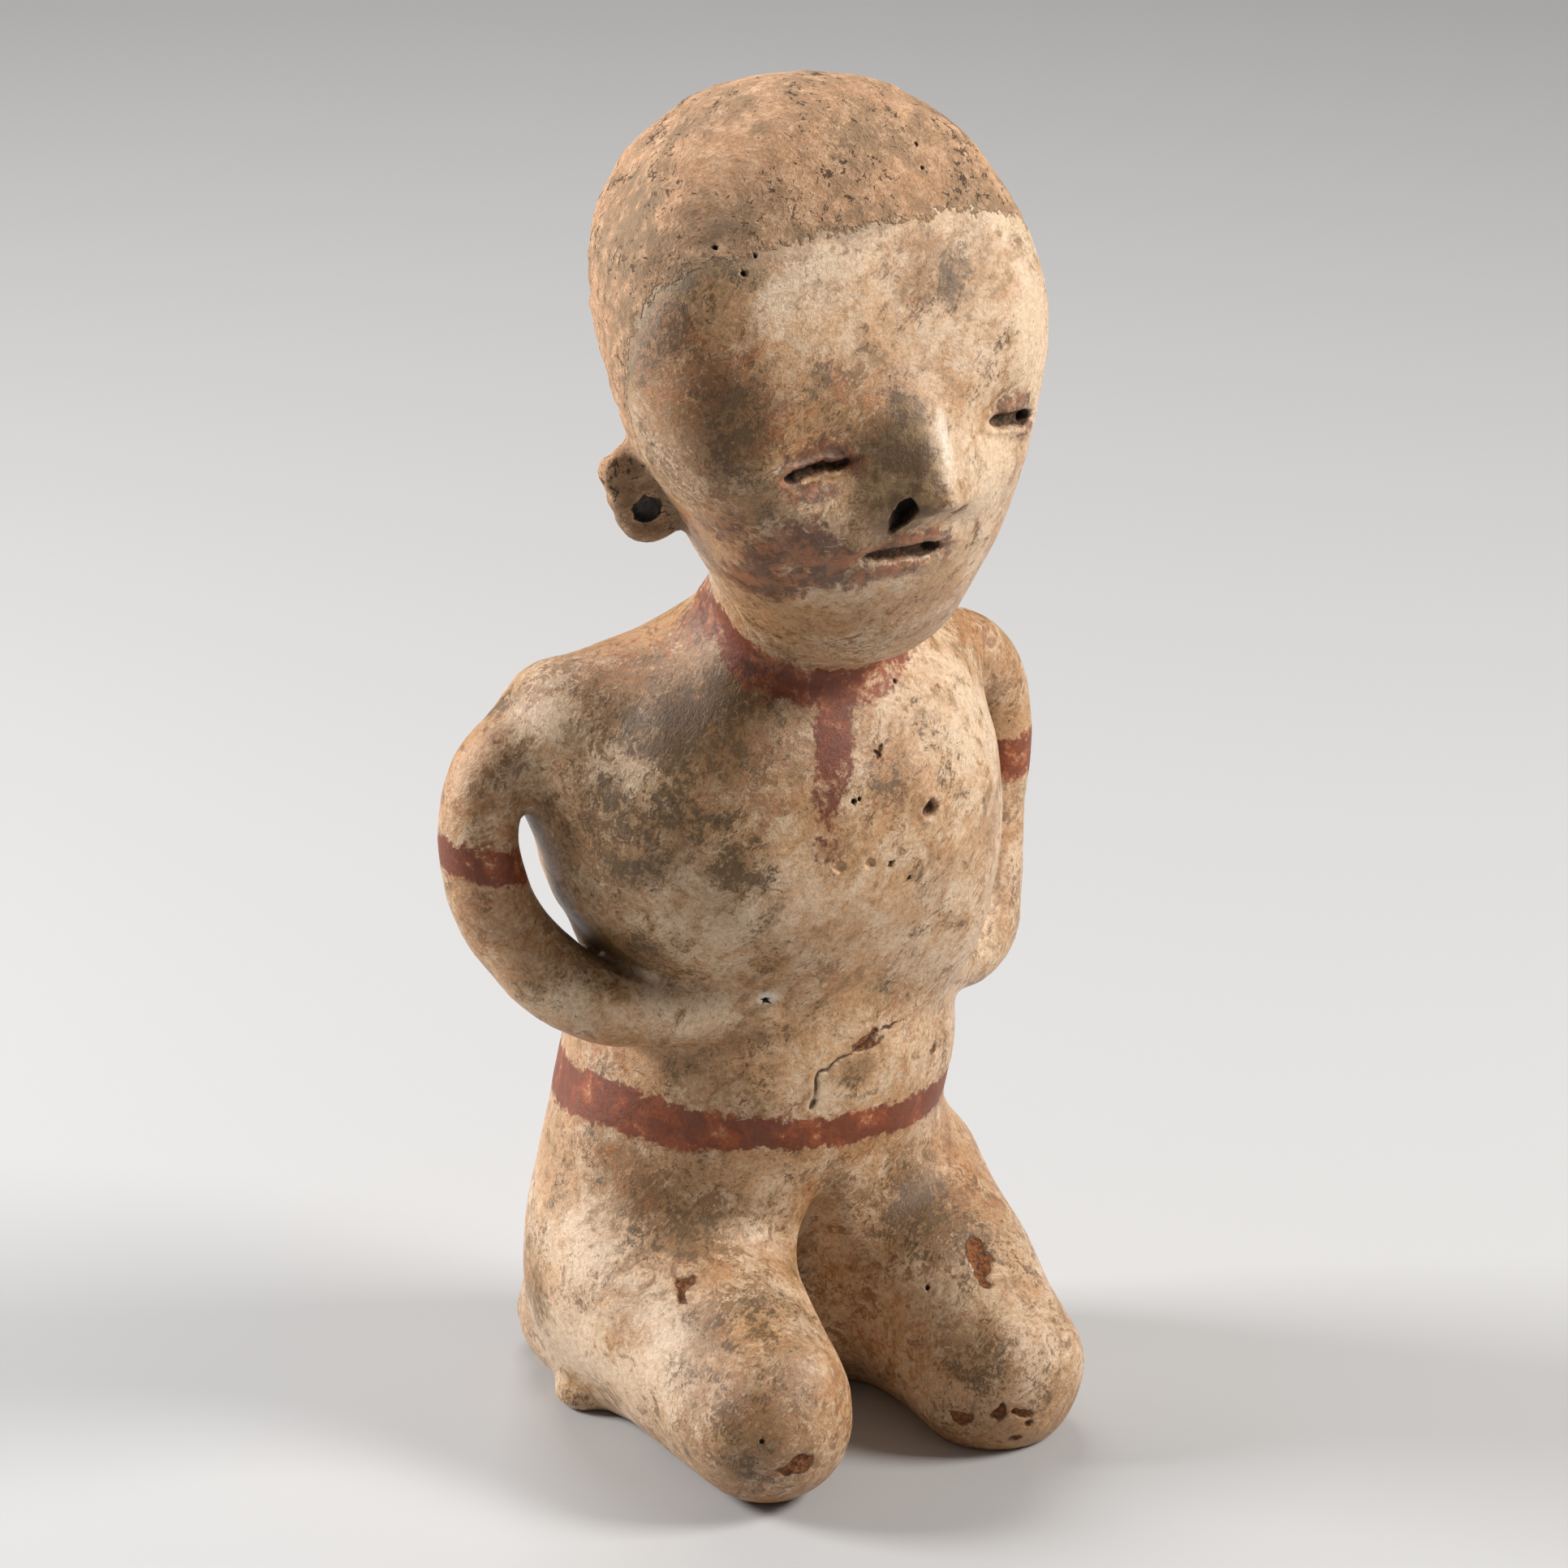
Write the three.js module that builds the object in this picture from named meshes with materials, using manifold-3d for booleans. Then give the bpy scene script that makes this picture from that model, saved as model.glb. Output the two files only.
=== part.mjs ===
// A kneeling hollow clay figure with both arms bent round to the belly.
// Millimetres, +Z up. The figure faces -Y, so its own right hand is on -X.
import * as THREE from "three";
import { mergeVertices } from "three/addons/utils/BufferGeometryUtils.js";
import Module from "manifold-3d";

// Sizes in millimetres. The height drives the rest, and each share can be changed alone.
const HEIGHT = 280;
const HEAD_WIDTH = 0.31 * HEIGHT;
const ARM_DIAMETER = 0.056 * HEIGHT;
const EYE_LENGTH = 0.045 * HEIGHT;
const MOUTH_LENGTH = 0.061 * HEIGHT;
const SLIT_WIDTH = 0.0082 * HEIGHT;
const SLIT_DEPTH = 0.018 * HEIGHT;
const NOSTRIL_LENGTH = 0.026 * HEIGHT;
const EAR_WIDTH = 0.065 * HEIGHT;
const EAR_LENGTH = 0.077 * HEIGHT;
const EAR_THICKNESS = 0.023 * HEIGHT;
const EAR_HOLE = 0.017 * HEIGHT;
const BREAST_HOLE = 0.0115 * HEIGHT;

// The surface is sampled in cells of these sizes, the smaller ones over the nose and mouth.
const BODY_CELL = 0.025 * HEIGHT;
const FACE_CELL = 0.0135 * HEIGHT;
const EAR_CELL = 0.42 * EAR_THICKNESS;

// Positions and radii below are hundredths of the height: x, y, z, and a radius where there is one.
const UNIT = HEIGHT / 100;
const HEAD_STRETCH = HEAD_WIDTH / (31 * UNIT);
const ARM_SWELL = ARM_DIAMETER / (5.6 * UNIT);

const SKULL = { centre: [-0.2, -10.3, 86.9], half: [14.4, 16.2, 12.9] };
const CHEEKS = [-0.8, -15.8, 83.5, 16.1];
const CHIN = [1.8, -11.9, 67.9, 9.4];
const FACE_BULGE = { centre: [-3.8, 25.7, 70.3], radius: 50.6 };
const EYE_DISHES = [
  { centre: [-6.6, -26.1, 77.9], half: [4.2, 2.9, 2.8] },
  { centre: [9.2, -24.4, 78.1], half: [3.8, 2.8, 2.7] },
];

// Each flank of the nose is part of a large ball through the top, the tip and one foot.
const NOSE_TOP = [0.3, -23.3, 82.4];
const NOSE_TIP = [0.8, -27.1, 74.4];
const NOSE_FEET = [[-4.5, -24.0, 74.2], [6.1, -23.0, 74.2]];
const FLANK_RADIUS = 20;
const NOSE_UNDERSIDE = { point: [1.2, -26.9, 73.4], normal: [0, -0.2, -0.98] };

const CHEST = { centre: [0.6, -3.9, 46.0], half: [17.5, 12.8, 14.8] };
const SIDE = { centre: [8.6, -3.6, 38.5], half: [8.9, 9.6, 10.0] };
const BELLY = { centre: [1.4, -1.0, 26.4], half: [14.6, 12.4, 13.8] };
const HIPS = { centre: [-1.3, 0.1, 11.2], half: [15.4, 11.3, 14.7] };
const SHOULDERS = [[-14.0, -0.7, 52.1, 5.5], [13.9, -0.6, 52.6, 4.7]];
const NECK = [[0.7, -4.1, 50.5, 6.5], [-0.2, -8.1, 65.5, 5.4]];
const CLEFT = { centre: [0.3, -15.2, 8.0], half: [2.8, 7.0, 11.5] };
const LUG = { centre: [-13.3, -0.4, 1.2], half: [1.9, 2.2, 1.5] };

// Each arm is one coil of clay, from inside the shoulder round to the hand on the belly.
const RIGHT_ARM = [
  [-10.0, 0.0, 52.5, 4.2], [-18.3, -0.5, 51.2, 3.4], [-21.5, -1.2, 47.0, 2.75],
  [-20.0, -2.0, 39.6, 2.75], [-14.5, -6.0, 33.8, 2.95], [-4.9, -10.2, 32.9, 2.1],
];
const LEFT_ARM = [
  [10.0, 0.0, 52.2, 4.2], [19.0, 0.4, 51.6, 3.4], [21.8, 0.7, 46.0, 2.8],
  [20.9, 0.3, 38.4, 2.75], [17.8, -3.0, 31.6, 3.1], [9.7, -8.1, 31.9, 2.1],
];
const ARM_RINGS = 22;
const ARM_SIDES = 12;

const RIGHT_LEG = {
  hip: [-8.1, -4.3, 9.8, 9.0], knee: [-8.7, -19.2, 6.0, 6.3],
  shin: [-8.7, -16.6, 4.9, 4.6], ankle: [-8.9, 5.0, 4.7, 5.9], toe: [-9.9, 9.9, 2.9, 2.9],
};
const LEFT_LEG = {
  hip: [9.5, -2.1, 12.1, 9.0], knee: [10.8, -18.3, 4.7, 6.4],
  shin: [10.8, -16.0, 3.9, 4.6], ankle: [7.8, 4.5, 4.3, 6.0], toe: [8.8, 9.9, 2.9, 2.9],
};

// Ends of the slits on the front of the head, as x and z. A slit is deepest at its "pit" end.
const SLITS = [
  { from: [-9.0, 76.8], to: [-4.3, 77.3], length: EYE_LENGTH, pit: 0 },
  { from: [7.2, 77.8], to: [11.2, 77.2], length: EYE_LENGTH, pit: 1 },
  { from: [-3.6, 70.3], to: [2.5, 69.9], length: MOUTH_LENGTH, pit: 1 },
];
// The right nostril is poked into the flank of the nose, the left one up into the underside.
const NOSTRILS = [
  { at: [-1.5, -25.2, 73.4], along: [-1.2, 1.05, -2.5], into: [0.65, 0.7, 0.3] },
  { at: [3.1, -24.9, 73.0], along: [0.75, 0.4, 0], into: [-0.2, 0.3, 0.95] },
];
// An ear's hole lies towards its outer lower corner, and runs outwards as it goes back.
const EARS = [
  { centre: [-13.1, -11.3, 73.5], turn: -11, lean: 23, hole: [-1.03, -1.03], slant: -0.55 },
  { centre: [14.2, -9.9, 73.5], turn: 11, lean: -23, hole: [1.03, -1.03], slant: 0.55 },
];
const BREAST_MARK = [6.4, 47.8];

// Distance fields: negative inside, in hundredths of the height.
const mix = (a, b, t) => a + (b - a) * t;

// Joins two fields with a fillet about k wide.
function join(a, b, k) {
  const t = Math.min(1, Math.max(0, 0.5 + (0.5 * (b - a)) / k));
  return mix(b, a, t) - k * t * (1 - t);
}

// Cuts field b out of field a, with a rounded lip.
const carve = (a, b, k) => -join(-a, b, k);

// Keeps what is inside both fields.
const both = (a, b, k) => -join(-a, -b, k);

function ellipsoid({ centre: [cx, cy, cz], half: [a, b, c] }) {
  return (x, y, z) => {
    const u = (x - cx) / a;
    const v = (y - cy) / b;
    const w = (z - cz) / c;
    const near = Math.hypot(u, v, w);
    const slope = Math.hypot(u / a, v / b, w / c);
    return (near * (near - 1)) / Math.max(slope, 1e-9);
  };
}

// A ball rolled from one end to the other while its radius changes.
function limb(start, end) {
  const [ax, ay, az, ra] = start;
  const d = [end[0] - ax, end[1] - ay, end[2] - az];
  const l2 = d[0] * d[0] + d[1] * d[1] + d[2] * d[2];
  const dr = ra - end[3];
  const a2 = l2 - dr * dr;
  const lift = Math.sign(dr) * dr * dr;
  return (x, y, z) => {
    const px = x - ax;
    const py = y - ay;
    const pz = z - az;
    const along = px * d[0] + py * d[1] + pz * d[2];
    const past = along - l2;
    const ux = px * l2 - d[0] * along;
    const uy = py * l2 - d[1] * along;
    const uz = pz * l2 - d[2] * along;
    const x2 = ux * ux + uy * uy + uz * uz;
    const y2 = along * along * l2;
    const z2 = past * past * l2;
    if (Math.sign(past) * a2 * z2 > lift * x2) return Math.sqrt(x2 + z2) / l2 - end[3];
    if (Math.sign(along) * a2 * y2 < lift * x2) return Math.sqrt(x2 + y2) / l2 - ra;
    return (Math.sqrt((x2 * a2) / l2) + along * dr) / l2 - ra;
  };
}

// A tablet with a rounded outline and rounded edges, turned about the vertical and leaned about its depth.
function tablet({ centre: [cx, cy, cz], turn, lean }) {
  const half = [EAR_WIDTH / UNIT / 2, EAR_THICKNESS / UNIT / 2, EAR_LENGTH / UNIT / 2];
  const corner = 0.72 * Math.min(half[0], half[2]);
  const edge = 0.9 * half[1];
  const a = THREE.MathUtils.degToRad(turn);
  const b = THREE.MathUtils.degToRad(lean);
  const rounded = (u, v, r) => Math.hypot(Math.max(u + r, 0), Math.max(v + r, 0)) + Math.min(Math.max(u, v) + r, 0) - r;
  return (x, y, z) => {
    const px = x - cx * HEAD_STRETCH;
    const py = y - cy;
    const pz = z - cz;
    const tx = px * Math.cos(a) + py * Math.sin(a);
    const ty = -px * Math.sin(a) + py * Math.cos(a);
    const lx = tx * Math.cos(b) + pz * Math.sin(b);
    const lz = -tx * Math.sin(b) + pz * Math.cos(b);
    const outline = rounded(Math.abs(lx) - half[0], Math.abs(lz) - half[2], corner);
    return rounded(outline, Math.abs(ty) - half[1], edge);
  };
}

const skull = ellipsoid(SKULL);
const jaw = limb(CHEEKS, CHIN);
const flanks = NOSE_FEET.map(flank);
const dishes = EYE_DISHES.map(ellipsoid);

// The large ball behind the top, the tip and a foot of the nose that touches all three.
function flank(foot) {
  const [top, tip, low] = [NOSE_TOP, NOSE_TIP, foot].map((p) => new THREE.Vector3(...p));
  const a = tip.sub(top);
  const b = low.sub(top);
  const normal = new THREE.Vector3().crossVectors(a, b);
  const circle = b.clone().multiplyScalar(a.lengthSq()).addScaledVector(a, -b.lengthSq())
    .cross(normal).divideScalar(2 * normal.lengthSq());
  const back = Math.sqrt(FLANK_RADIUS ** 2 - circle.lengthSq()) * Math.sign(normal.y);
  const centre = top.add(circle).addScaledVector(normal.normalize(), back);
  return (x, y, z) => Math.hypot(x - centre.x, y - centre.y, z - centre.z) - FLANK_RADIUS;
}

function nose(x, y, z) {
  const { point, normal } = NOSE_UNDERSIDE;
  const below = (x - point[0]) * normal[0] + (y - point[1]) * normal[1] + (z - point[2]) * normal[2];
  const wedge = both(both(flanks[0](x, y, z), flanks[1](x, y, z), 1.1), below, 1.2);
  return both(wedge, y - NOSE_TOP[1] - 5, 1.2);
}

function head(x, y, z) {
  const sx = x / HEAD_STRETCH;
  const [bx, by, bz] = FACE_BULGE.centre;
  let d = join(skull(sx, y, z), jaw(sx, y, z), 3.6);
  d = both(d, Math.hypot(sx - bx, y - by, z - bz) - FACE_BULGE.radius, 5.0);
  for (const dish of dishes) d = carve(d, dish(sx, y, z), 2.2);
  return join(d, nose(x, y, z), 1.1);
}

function leg({ hip, knee, shin, ankle, toe }) {
  const thigh = limb(hip, knee);
  const calf = limb(shin, ankle);
  const foot = limb([ankle[0], ankle[1] + 1.5, 3.3, 3.3], toe);
  return (x, y, z) => join(join(calf(x, y, z), foot(x, y, z), 1.1), thigh(x, y, z), 1.5);
}

const chest = ellipsoid(CHEST);
const side = ellipsoid(SIDE);
const belly = ellipsoid(BELLY);
const hips = ellipsoid(HIPS);
const shoulders = limb(...SHOULDERS);
const neck = limb(...NECK);
const cleft = ellipsoid(CLEFT);
const rightLeg = leg(RIGHT_LEG);
const leftLeg = leg(LEFT_LEG);

function torso(x, y, z) {
  let d = join(chest(x, y, z), belly(x, y, z), 5.1);
  d = join(d, side(x, y, z), 3.0);
  d = join(d, hips(x, y, z), 7.3);
  d = join(d, shoulders(x, y, z), 3.7);
  return join(d, neck(x, y, z), 4.4);
}

function figure(x, y, z) {
  const legs = Math.min(rightLeg(x, y, z), leftLeg(x, y, z));
  const seated = carve(join(torso(x, y, z), legs, 2.6), cleft(x, y, z), 1.5);
  return join(seated, head(x, y, z), 2.2);
}

// Low and high ends, on one axis, of balls given by centre and half sizes and of limb ends given as rows.
function limits(axis, forms) {
  const spans = forms.map((f) => (Array.isArray(f) ? [f[axis], f[3]] : [f.centre[axis], f.half[axis]]));
  return [Math.min(...spans.map(([c, r]) => c - r)), Math.max(...spans.map(([c, r]) => c + r))];
}

// Grid lines from low to high with two cells to spare, finer between the two last values.
function lines([low, high], fineLow, fineHigh) {
  const coarse = BODY_CELL / UNIT;
  const fine = FACE_CELL / UNIT;
  const out = [];
  const end = high + 2 * coarse;
  for (let v = low - 2 * coarse; v < end; v += v > fineLow && v < fineHigh ? fine : coarse) out.push(v);
  return out;
}

// Evenly spaced grid lines on both sides of a middle value.
function evenLines(middle, reach, step) {
  const out = [];
  for (let v = middle - reach - 2 * step; v < middle + reach + 3 * step; v += step) out.push(v);
  return out;
}

// The corners of a cell are numbered by bits: 1 for x, 2 for y, 4 for z.
const EDGES = [[0, 1], [2, 3], [4, 5], [6, 7], [0, 2], [1, 3], [4, 6], [5, 7], [0, 4], [1, 5], [2, 6], [3, 7]];
const FACES = [[0, 1, 3, 2], [4, 5, 7, 6], [0, 1, 5, 4], [2, 3, 7, 6], [0, 2, 6, 4], [1, 3, 7, 5]];
const edgeOf = (a, b) => EDGES.findIndex(([p, q]) => (p === a && q === b) || (p === b && q === a));
const FACE_EDGES = FACES.map((c) => c.map((corner, i) => edgeOf(corner, c[(i + 1) % 4])));

// One vertex for each patch of surface that crosses a cell, and a square for each grid edge that it cuts.
function surfaceOf(field, xs, ys, zs) {
  const nx = xs.length;
  const ny = ys.length;
  const nz = zs.length;
  const at = (i, j, k) => (k * ny + j) * nx + i;
  const value = new Float64Array(nx * ny * nz);
  for (let k = 0; k < nz; k++)
    for (let j = 0; j < ny; j++)
      for (let i = 0; i < nx; i++) value[at(i, j, k)] = field(xs[i], ys[j], zs[k]) || 1e-9;

  const points = [];
  const patch = new Map();
  for (let k = 0; k + 1 < nz; k++)
    for (let j = 0; j + 1 < ny; j++)
      for (let i = 0; i + 1 < nx; i++) {
        const v = [];
        for (let c = 0; c < 8; c++) v.push(value[at(i + (c & 1), j + ((c >> 1) & 1), k + (c >> 2))]);
        if (v.every((s) => s > 0) || v.every((s) => s < 0)) continue;
        const cut = EDGES.map(([a, b]) => v[a] < 0 !== v[b] < 0);
        const group = EDGES.map((_, e) => e);
        const merge = (a, b) => {
          const from = group[a];
          const to = group[b];
          for (let e = 0; e < 12; e++) if (group[e] === from) group[e] = to;
        };
        FACES.forEach((corners, f) => {
          const edges = FACE_EDGES[f];
          const hit = edges.filter((e) => cut[e]);
          if (hit.length === 2) merge(hit[0], hit[1]);
          if (hit.length !== 4) return;
          const middle = corners.reduce((sum, c) => sum + v[c], 0);
          const s = middle < 0 === v[corners[0]] < 0 ? 0 : 1;
          merge(edges[s], edges[s + 1]);
          merge(edges[s + 2], edges[(s + 3) % 4]);
        });
        const made = new Map();
        EDGES.forEach(([a, b], e) => {
          if (!cut[e]) return;
          if (!made.has(group[e])) made.set(group[e], []);
          const t = v[a] / (v[a] - v[b]);
          const corner = (c) => [xs[i + (c & 1)], ys[j + ((c >> 1) & 1)], zs[k + (c >> 2)]];
          const [p, q] = [corner(a), corner(b)];
          made.get(group[e]).push([0, 1, 2].map((n) => mix(p[n], q[n], t)));
        });
        for (const [g, hits] of made) {
          points.push([0, 1, 2].map((n) => hits.reduce((sum, h) => sum + h[n], 0) / hits.length));
          EDGES.forEach((_, e) => {
            if (cut[e] && group[e] === g) patch.set(at(i, j, k) * 12 + e, points.length - 1);
          });
        }
      }

  for (const p of points) settle(field, p);

  const triangles = [];
  const steps = [[1, 0, 0], [0, 1, 0], [0, 0, 1]];
  for (let k = 1; k + 1 < nz; k++)
    for (let j = 1; j + 1 < ny; j++)
      for (let i = 1; i + 1 < nx; i++)
        steps.forEach(([di, dj, dk], axis) => {
          const inside = value[at(i, j, k)] < 0;
          if (inside === value[at(i + di, j + dj, k + dk)] < 0) return;
          const bits = [[2, 4], [4, 1], [1, 2]][axis];
          const ring = [[1, 1], [0, 1], [0, 0], [1, 0]].map(([s, t]) => {
            const low = s * bits[0] + t * bits[1];
            const cell = at(i - (low & 1), j - ((low >> 1) & 1), k - (low >> 2));
            return patch.get(cell * 12 + edgeOf(low, low + (1 << axis)));
          });
          if (!inside) ring.reverse();
          const gap = (a, b) => Math.hypot(...[0, 1, 2].map((n) => points[ring[a]][n] - points[ring[b]][n]));
          const s = gap(0, 2) < gap(1, 3) ? 0 : 1;
          triangles.push(ring[s], ring[s + 1], ring[s + 2], ring[s], ring[s + 2], ring[(s + 3) % 4]);
        });
  return { points, triangles };
}

// True when no two triangles run along the same edge the same way.
function edgesAreSingle(triangles) {
  const seen = new Set();
  for (let i = 0; i < triangles.length; i += 3)
    for (let j = 0; j < 3; j++) {
      const key = triangles[i + j] * 1e6 + triangles[i + ((j + 1) % 3)];
      if (seen.has(key)) return false;
      seen.add(key);
    }
  return true;
}

// Two sheets of surface can touch inside one cell. The grid is then nudged aside and sampled again.
function closedSurface(field, xs, ys, zs) {
  const step = xs[1] - xs[0];
  for (let nudge = 0; nudge < 12; nudge++) {
    const moved = [xs, ys, zs].map((values, n) => values.map((v) => v + (0.07 + 0.03 * n) * nudge * step));
    const surface = surfaceOf(field, ...moved);
    if (edgesAreSingle(surface.triangles)) return surface;
  }
  throw new Error("no grid gives one closed surface");
}

// Moves a point on to the field's surface.
function settle(field, p) {
  const e = 0.02;
  for (let step = 0; step < 3; step++) {
    const d = field(...p);
    const g = [0, 1, 2].map((n) => {
      const q = [...p];
      q[n] += e;
      return (field(...q) - d) / e;
    });
    const g2 = Math.max(g[0] ** 2 + g[1] ** 2 + g[2] ** 2, 0.25);
    const move = Math.min(0.7, Math.max(-0.7, d / g2));
    for (let n = 0; n < 3; n++) p[n] -= move * g[n];
  }
}

const wasm = await Module();
wasm.setup();

function solidOf(geometry) {
  const bare = geometry.clone();
  bare.deleteAttribute("normal");
  bare.deleteAttribute("uv");
  const merged = mergeVertices(bare);
  return new wasm.Manifold(new wasm.Mesh({
    numProp: 3,
    vertProperties: new Float32Array(merged.attributes.position.array),
    triVerts: new Uint32Array(merged.index.array),
  }));
}

// The closed solid of a sampled surface.
function solidFrom({ points, triangles }) {
  return new wasm.Manifold(new wasm.Mesh({
    numProp: 3,
    vertProperties: new Float32Array(points.flat().map((v) => v * UNIT)),
    triVerts: new Uint32Array(triangles),
  }));
}

// A coil of clay: rings along a smooth curve through the points, closed by a point at each end.
function rolledCoil(rows) {
  const curve = new THREE.CatmullRomCurve3(rows.map(([x, y, z]) => new THREE.Vector3(x, y, z)), false, "catmullrom");
  const radii = new THREE.SplineCurve(rows.map((row, i) => new THREE.Vector2(i, row[3] * ARM_SWELL)));
  const { tangents, normals, binormals } = curve.computeFrenetFrames(ARM_RINGS, false);
  const points = [];
  const triangles = [];
  for (let i = 0; i <= ARM_RINGS; i++) {
    const t = curve.getUtoTmapping(i / ARM_RINGS);
    const centre = curve.getPoint(t);
    const radius = radii.getPoint(t).y;
    for (let j = 0; j < ARM_SIDES; j++) {
      const angle = (2 * Math.PI * j) / ARM_SIDES;
      const p = centre.clone()
        .addScaledVector(normals[i], radius * Math.cos(angle))
        .addScaledVector(binormals[i], radius * Math.sin(angle));
      points.push(p.toArray());
      if (!i) continue;
      const [a, b] = [(i - 1) * ARM_SIDES + j, (i - 1) * ARM_SIDES + ((j + 1) % ARM_SIDES)];
      triangles.push(a, b, b + ARM_SIDES, a, b + ARM_SIDES, a + ARM_SIDES);
    }
  }
  for (const [ring, way] of [[0, -1], [ARM_RINGS, 1]]) {
    const radius = radii.getPoint(ring ? 1 : 0).y;
    const tip = curve.getPoint(ring ? 1 : 0).addScaledVector(tangents[ring], 0.8 * way * radius);
    points.push(tip.toArray());
    for (let j = 0; j < ARM_SIDES; j++) {
      const [a, b] = [ring * ARM_SIDES + j, ring * ARM_SIDES + ((j + 1) % ARM_SIDES)];
      triangles.push(points.length - 1, ...(way > 0 ? [a, b] : [b, a]));
    }
  }
  return solidFrom({ points, triangles });
}

function geometryOf(solid) {
  const mesh = solid.getMesh();
  const position = new Float32Array(mesh.numVert * 3);
  for (let i = 0; i < mesh.numVert; i++)
    position.set(mesh.vertProperties.subarray(i * mesh.numProp, i * mesh.numProp + 3), i * 3);
  const geometry = new THREE.BufferGeometry();
  geometry.setAttribute("position", new THREE.BufferAttribute(position, 3));
  geometry.setIndex(new THREE.BufferAttribute(new Uint32Array(mesh.triVerts), 1));
  return geometry;
}

// The first point of the figure met by a line that runs in from the front at x and z.
function front(x, z) {
  let y = -34;
  for (let step = 0; step < 80; step++) y += 0.8 * Math.max(figure(x, y, z), 0.001);
  return new THREE.Vector3(x, y, z);
}

function normalAt(p) {
  const e = 0.05;
  const d = figure(p.x, p.y, p.z);
  return new THREE.Vector3(
    figure(p.x + e, p.y, p.z) - d, figure(p.x, p.y + e, p.z) - d, figure(p.x, p.y, p.z + e) - d,
  ).normalize();
}

// An egg-shaped cutter: half sizes in millimetres, its length along one way and its depth along another.
function gouge(centre, along, deep, half) {
  const u = along.clone().normalize();
  const w = deep.clone().addScaledVector(u, -deep.dot(u)).normalize();
  const v = new THREE.Vector3().crossVectors(w, u);
  const place = new THREE.Matrix4().makeBasis(u, v, w).setPosition(centre.clone().multiplyScalar(UNIT));
  const shape = new THREE.SphereGeometry(1, 12, 6).scale(...half);
  return solidOf(shape.applyMatrix4(place));
}

function slitCutters({ from, to, length, pit }) {
  const a = front(...from);
  const b = front(...to);
  const middle = a.clone().lerp(b, 0.5);
  const along = b.clone().sub(a);
  const face = normalAt(front(middle.x, middle.z));
  middle.y = front(middle.x, middle.z).y;
  const end = middle.clone().addScaledVector(along, ((pit ? 0.34 : -0.34) * length) / UNIT / along.length());
  const hole = 0.75 * SLIT_WIDTH;
  return [
    gouge(middle, along, face, [length / 2, SLIT_WIDTH / 2, SLIT_DEPTH]),
    gouge(end, along, face, [hole, 0.9 * hole, 1.5 * SLIT_DEPTH]),
  ];
}

const FORMS = [
  SKULL, CHEEKS, CHIN, CHEST, SIDE, BELLY, HIPS, ...SHOULDERS, ...NECK,
  ...Object.values(RIGHT_LEG), ...Object.values(LEFT_LEG),
];
const [front0, back0] = limits(1, FORMS);
let body = solidFrom(closedSurface(
  figure,
  lines(limits(0, FORMS), NOSE_FEET[0][0], NOSE_FEET[1][0]),
  lines([Math.min(front0, NOSE_TIP[1]), back0], NOSE_TIP[1] - 1, NOSE_TOP[1] + 2.5),
  lines(limits(2, FORMS), NOSE_TIP[2] - 4.4, NOSE_TOP[2]),
));
for (const arm of [RIGHT_ARM, LEFT_ARM]) body = body.add(rolledCoil(arm));
for (const ear of EARS) {
  const [cx, cy, cz] = ear.centre;
  const reach = (0.5 * Math.hypot(EAR_WIDTH, EAR_THICKNESS)) / UNIT;
  body = body.add(solidFrom(closedSurface(
    tablet(ear),
    evenLines(cx * HEAD_STRETCH, reach, EAR_CELL / UNIT),
    evenLines(cy, reach, EAR_CELL / UNIT),
    evenLines(cz, (0.55 * EAR_LENGTH) / UNIT, EAR_CELL / UNIT),
  )));
}

const lug = new THREE.SphereGeometry(1, 12, 8).scale(...LUG.half).translate(...LUG.centre).scale(UNIT, UNIT, UNIT);
body = body.add(solidOf(lug));

// The legs are cut flat where the figure rests.
const floor = new THREE.BoxGeometry(HEIGHT, HEIGHT, HEIGHT).translate(0, 0, -HEIGHT / 2);
body = body.subtract(solidOf(floor));

for (const slit of SLITS) for (const cutter of slitCutters(slit)) body = body.subtract(cutter);

for (const { at, along, into } of NOSTRILS) {
  const half = [NOSTRIL_LENGTH / 2, 0.28 * NOSTRIL_LENGTH, 0.55 * NOSTRIL_LENGTH];
  body = body.subtract(gouge(
    new THREE.Vector3(...at), new THREE.Vector3(...along), new THREE.Vector3(...into), half,
  ));
}

// A drill through an ear, placed by the ear's own width, depth and height.
for (const { centre, turn, lean, hole, slant } of EARS) {
  const a = THREE.MathUtils.degToRad(turn);
  const b = THREE.MathUtils.degToRad(lean);
  const width = new THREE.Vector3(Math.cos(b) * Math.cos(a), Math.cos(b) * Math.sin(a), Math.sin(b));
  const depth = new THREE.Vector3(-Math.sin(a), Math.cos(a), 0);
  const height = new THREE.Vector3().crossVectors(width, depth);
  const half = EAR_THICKNESS / UNIT / 2;
  const at = new THREE.Vector3(centre[0] * HEAD_STRETCH, centre[1], centre[2])
    .addScaledVector(width, hole[0] + slant * half).addScaledVector(height, hole[1]);
  const way = depth.addScaledVector(width, slant);
  body = body.subtract(gouge(at, way, height, [3 * EAR_THICKNESS, EAR_HOLE / 2, EAR_HOLE / 2]));
}

const breast = front(...BREAST_MARK);
body = body.subtract(gouge(
  breast, new THREE.Vector3(1, 0, 0), normalAt(breast), [BREAST_HOLE / 2, BREAST_HOLE / 2, BREAST_HOLE],
));

// The origin is the middle of the underside of the box around the figure.
const geometry = geometryOf(body);
geometry.computeBoundingBox();
const { min, max } = geometry.boundingBox;
geometry.translate(-(min.x + max.x) / 2, -(min.y + max.y) / 2, -min.z);
geometry.computeVertexNormals();

const clay = new THREE.MeshStandardMaterial({ color: 0xb0906a, roughness: 0.55, metalness: 0 });
clay.name = "burnished_clay";
const mesh = new THREE.Mesh(geometry, clay);
mesh.name = "figure";

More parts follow.
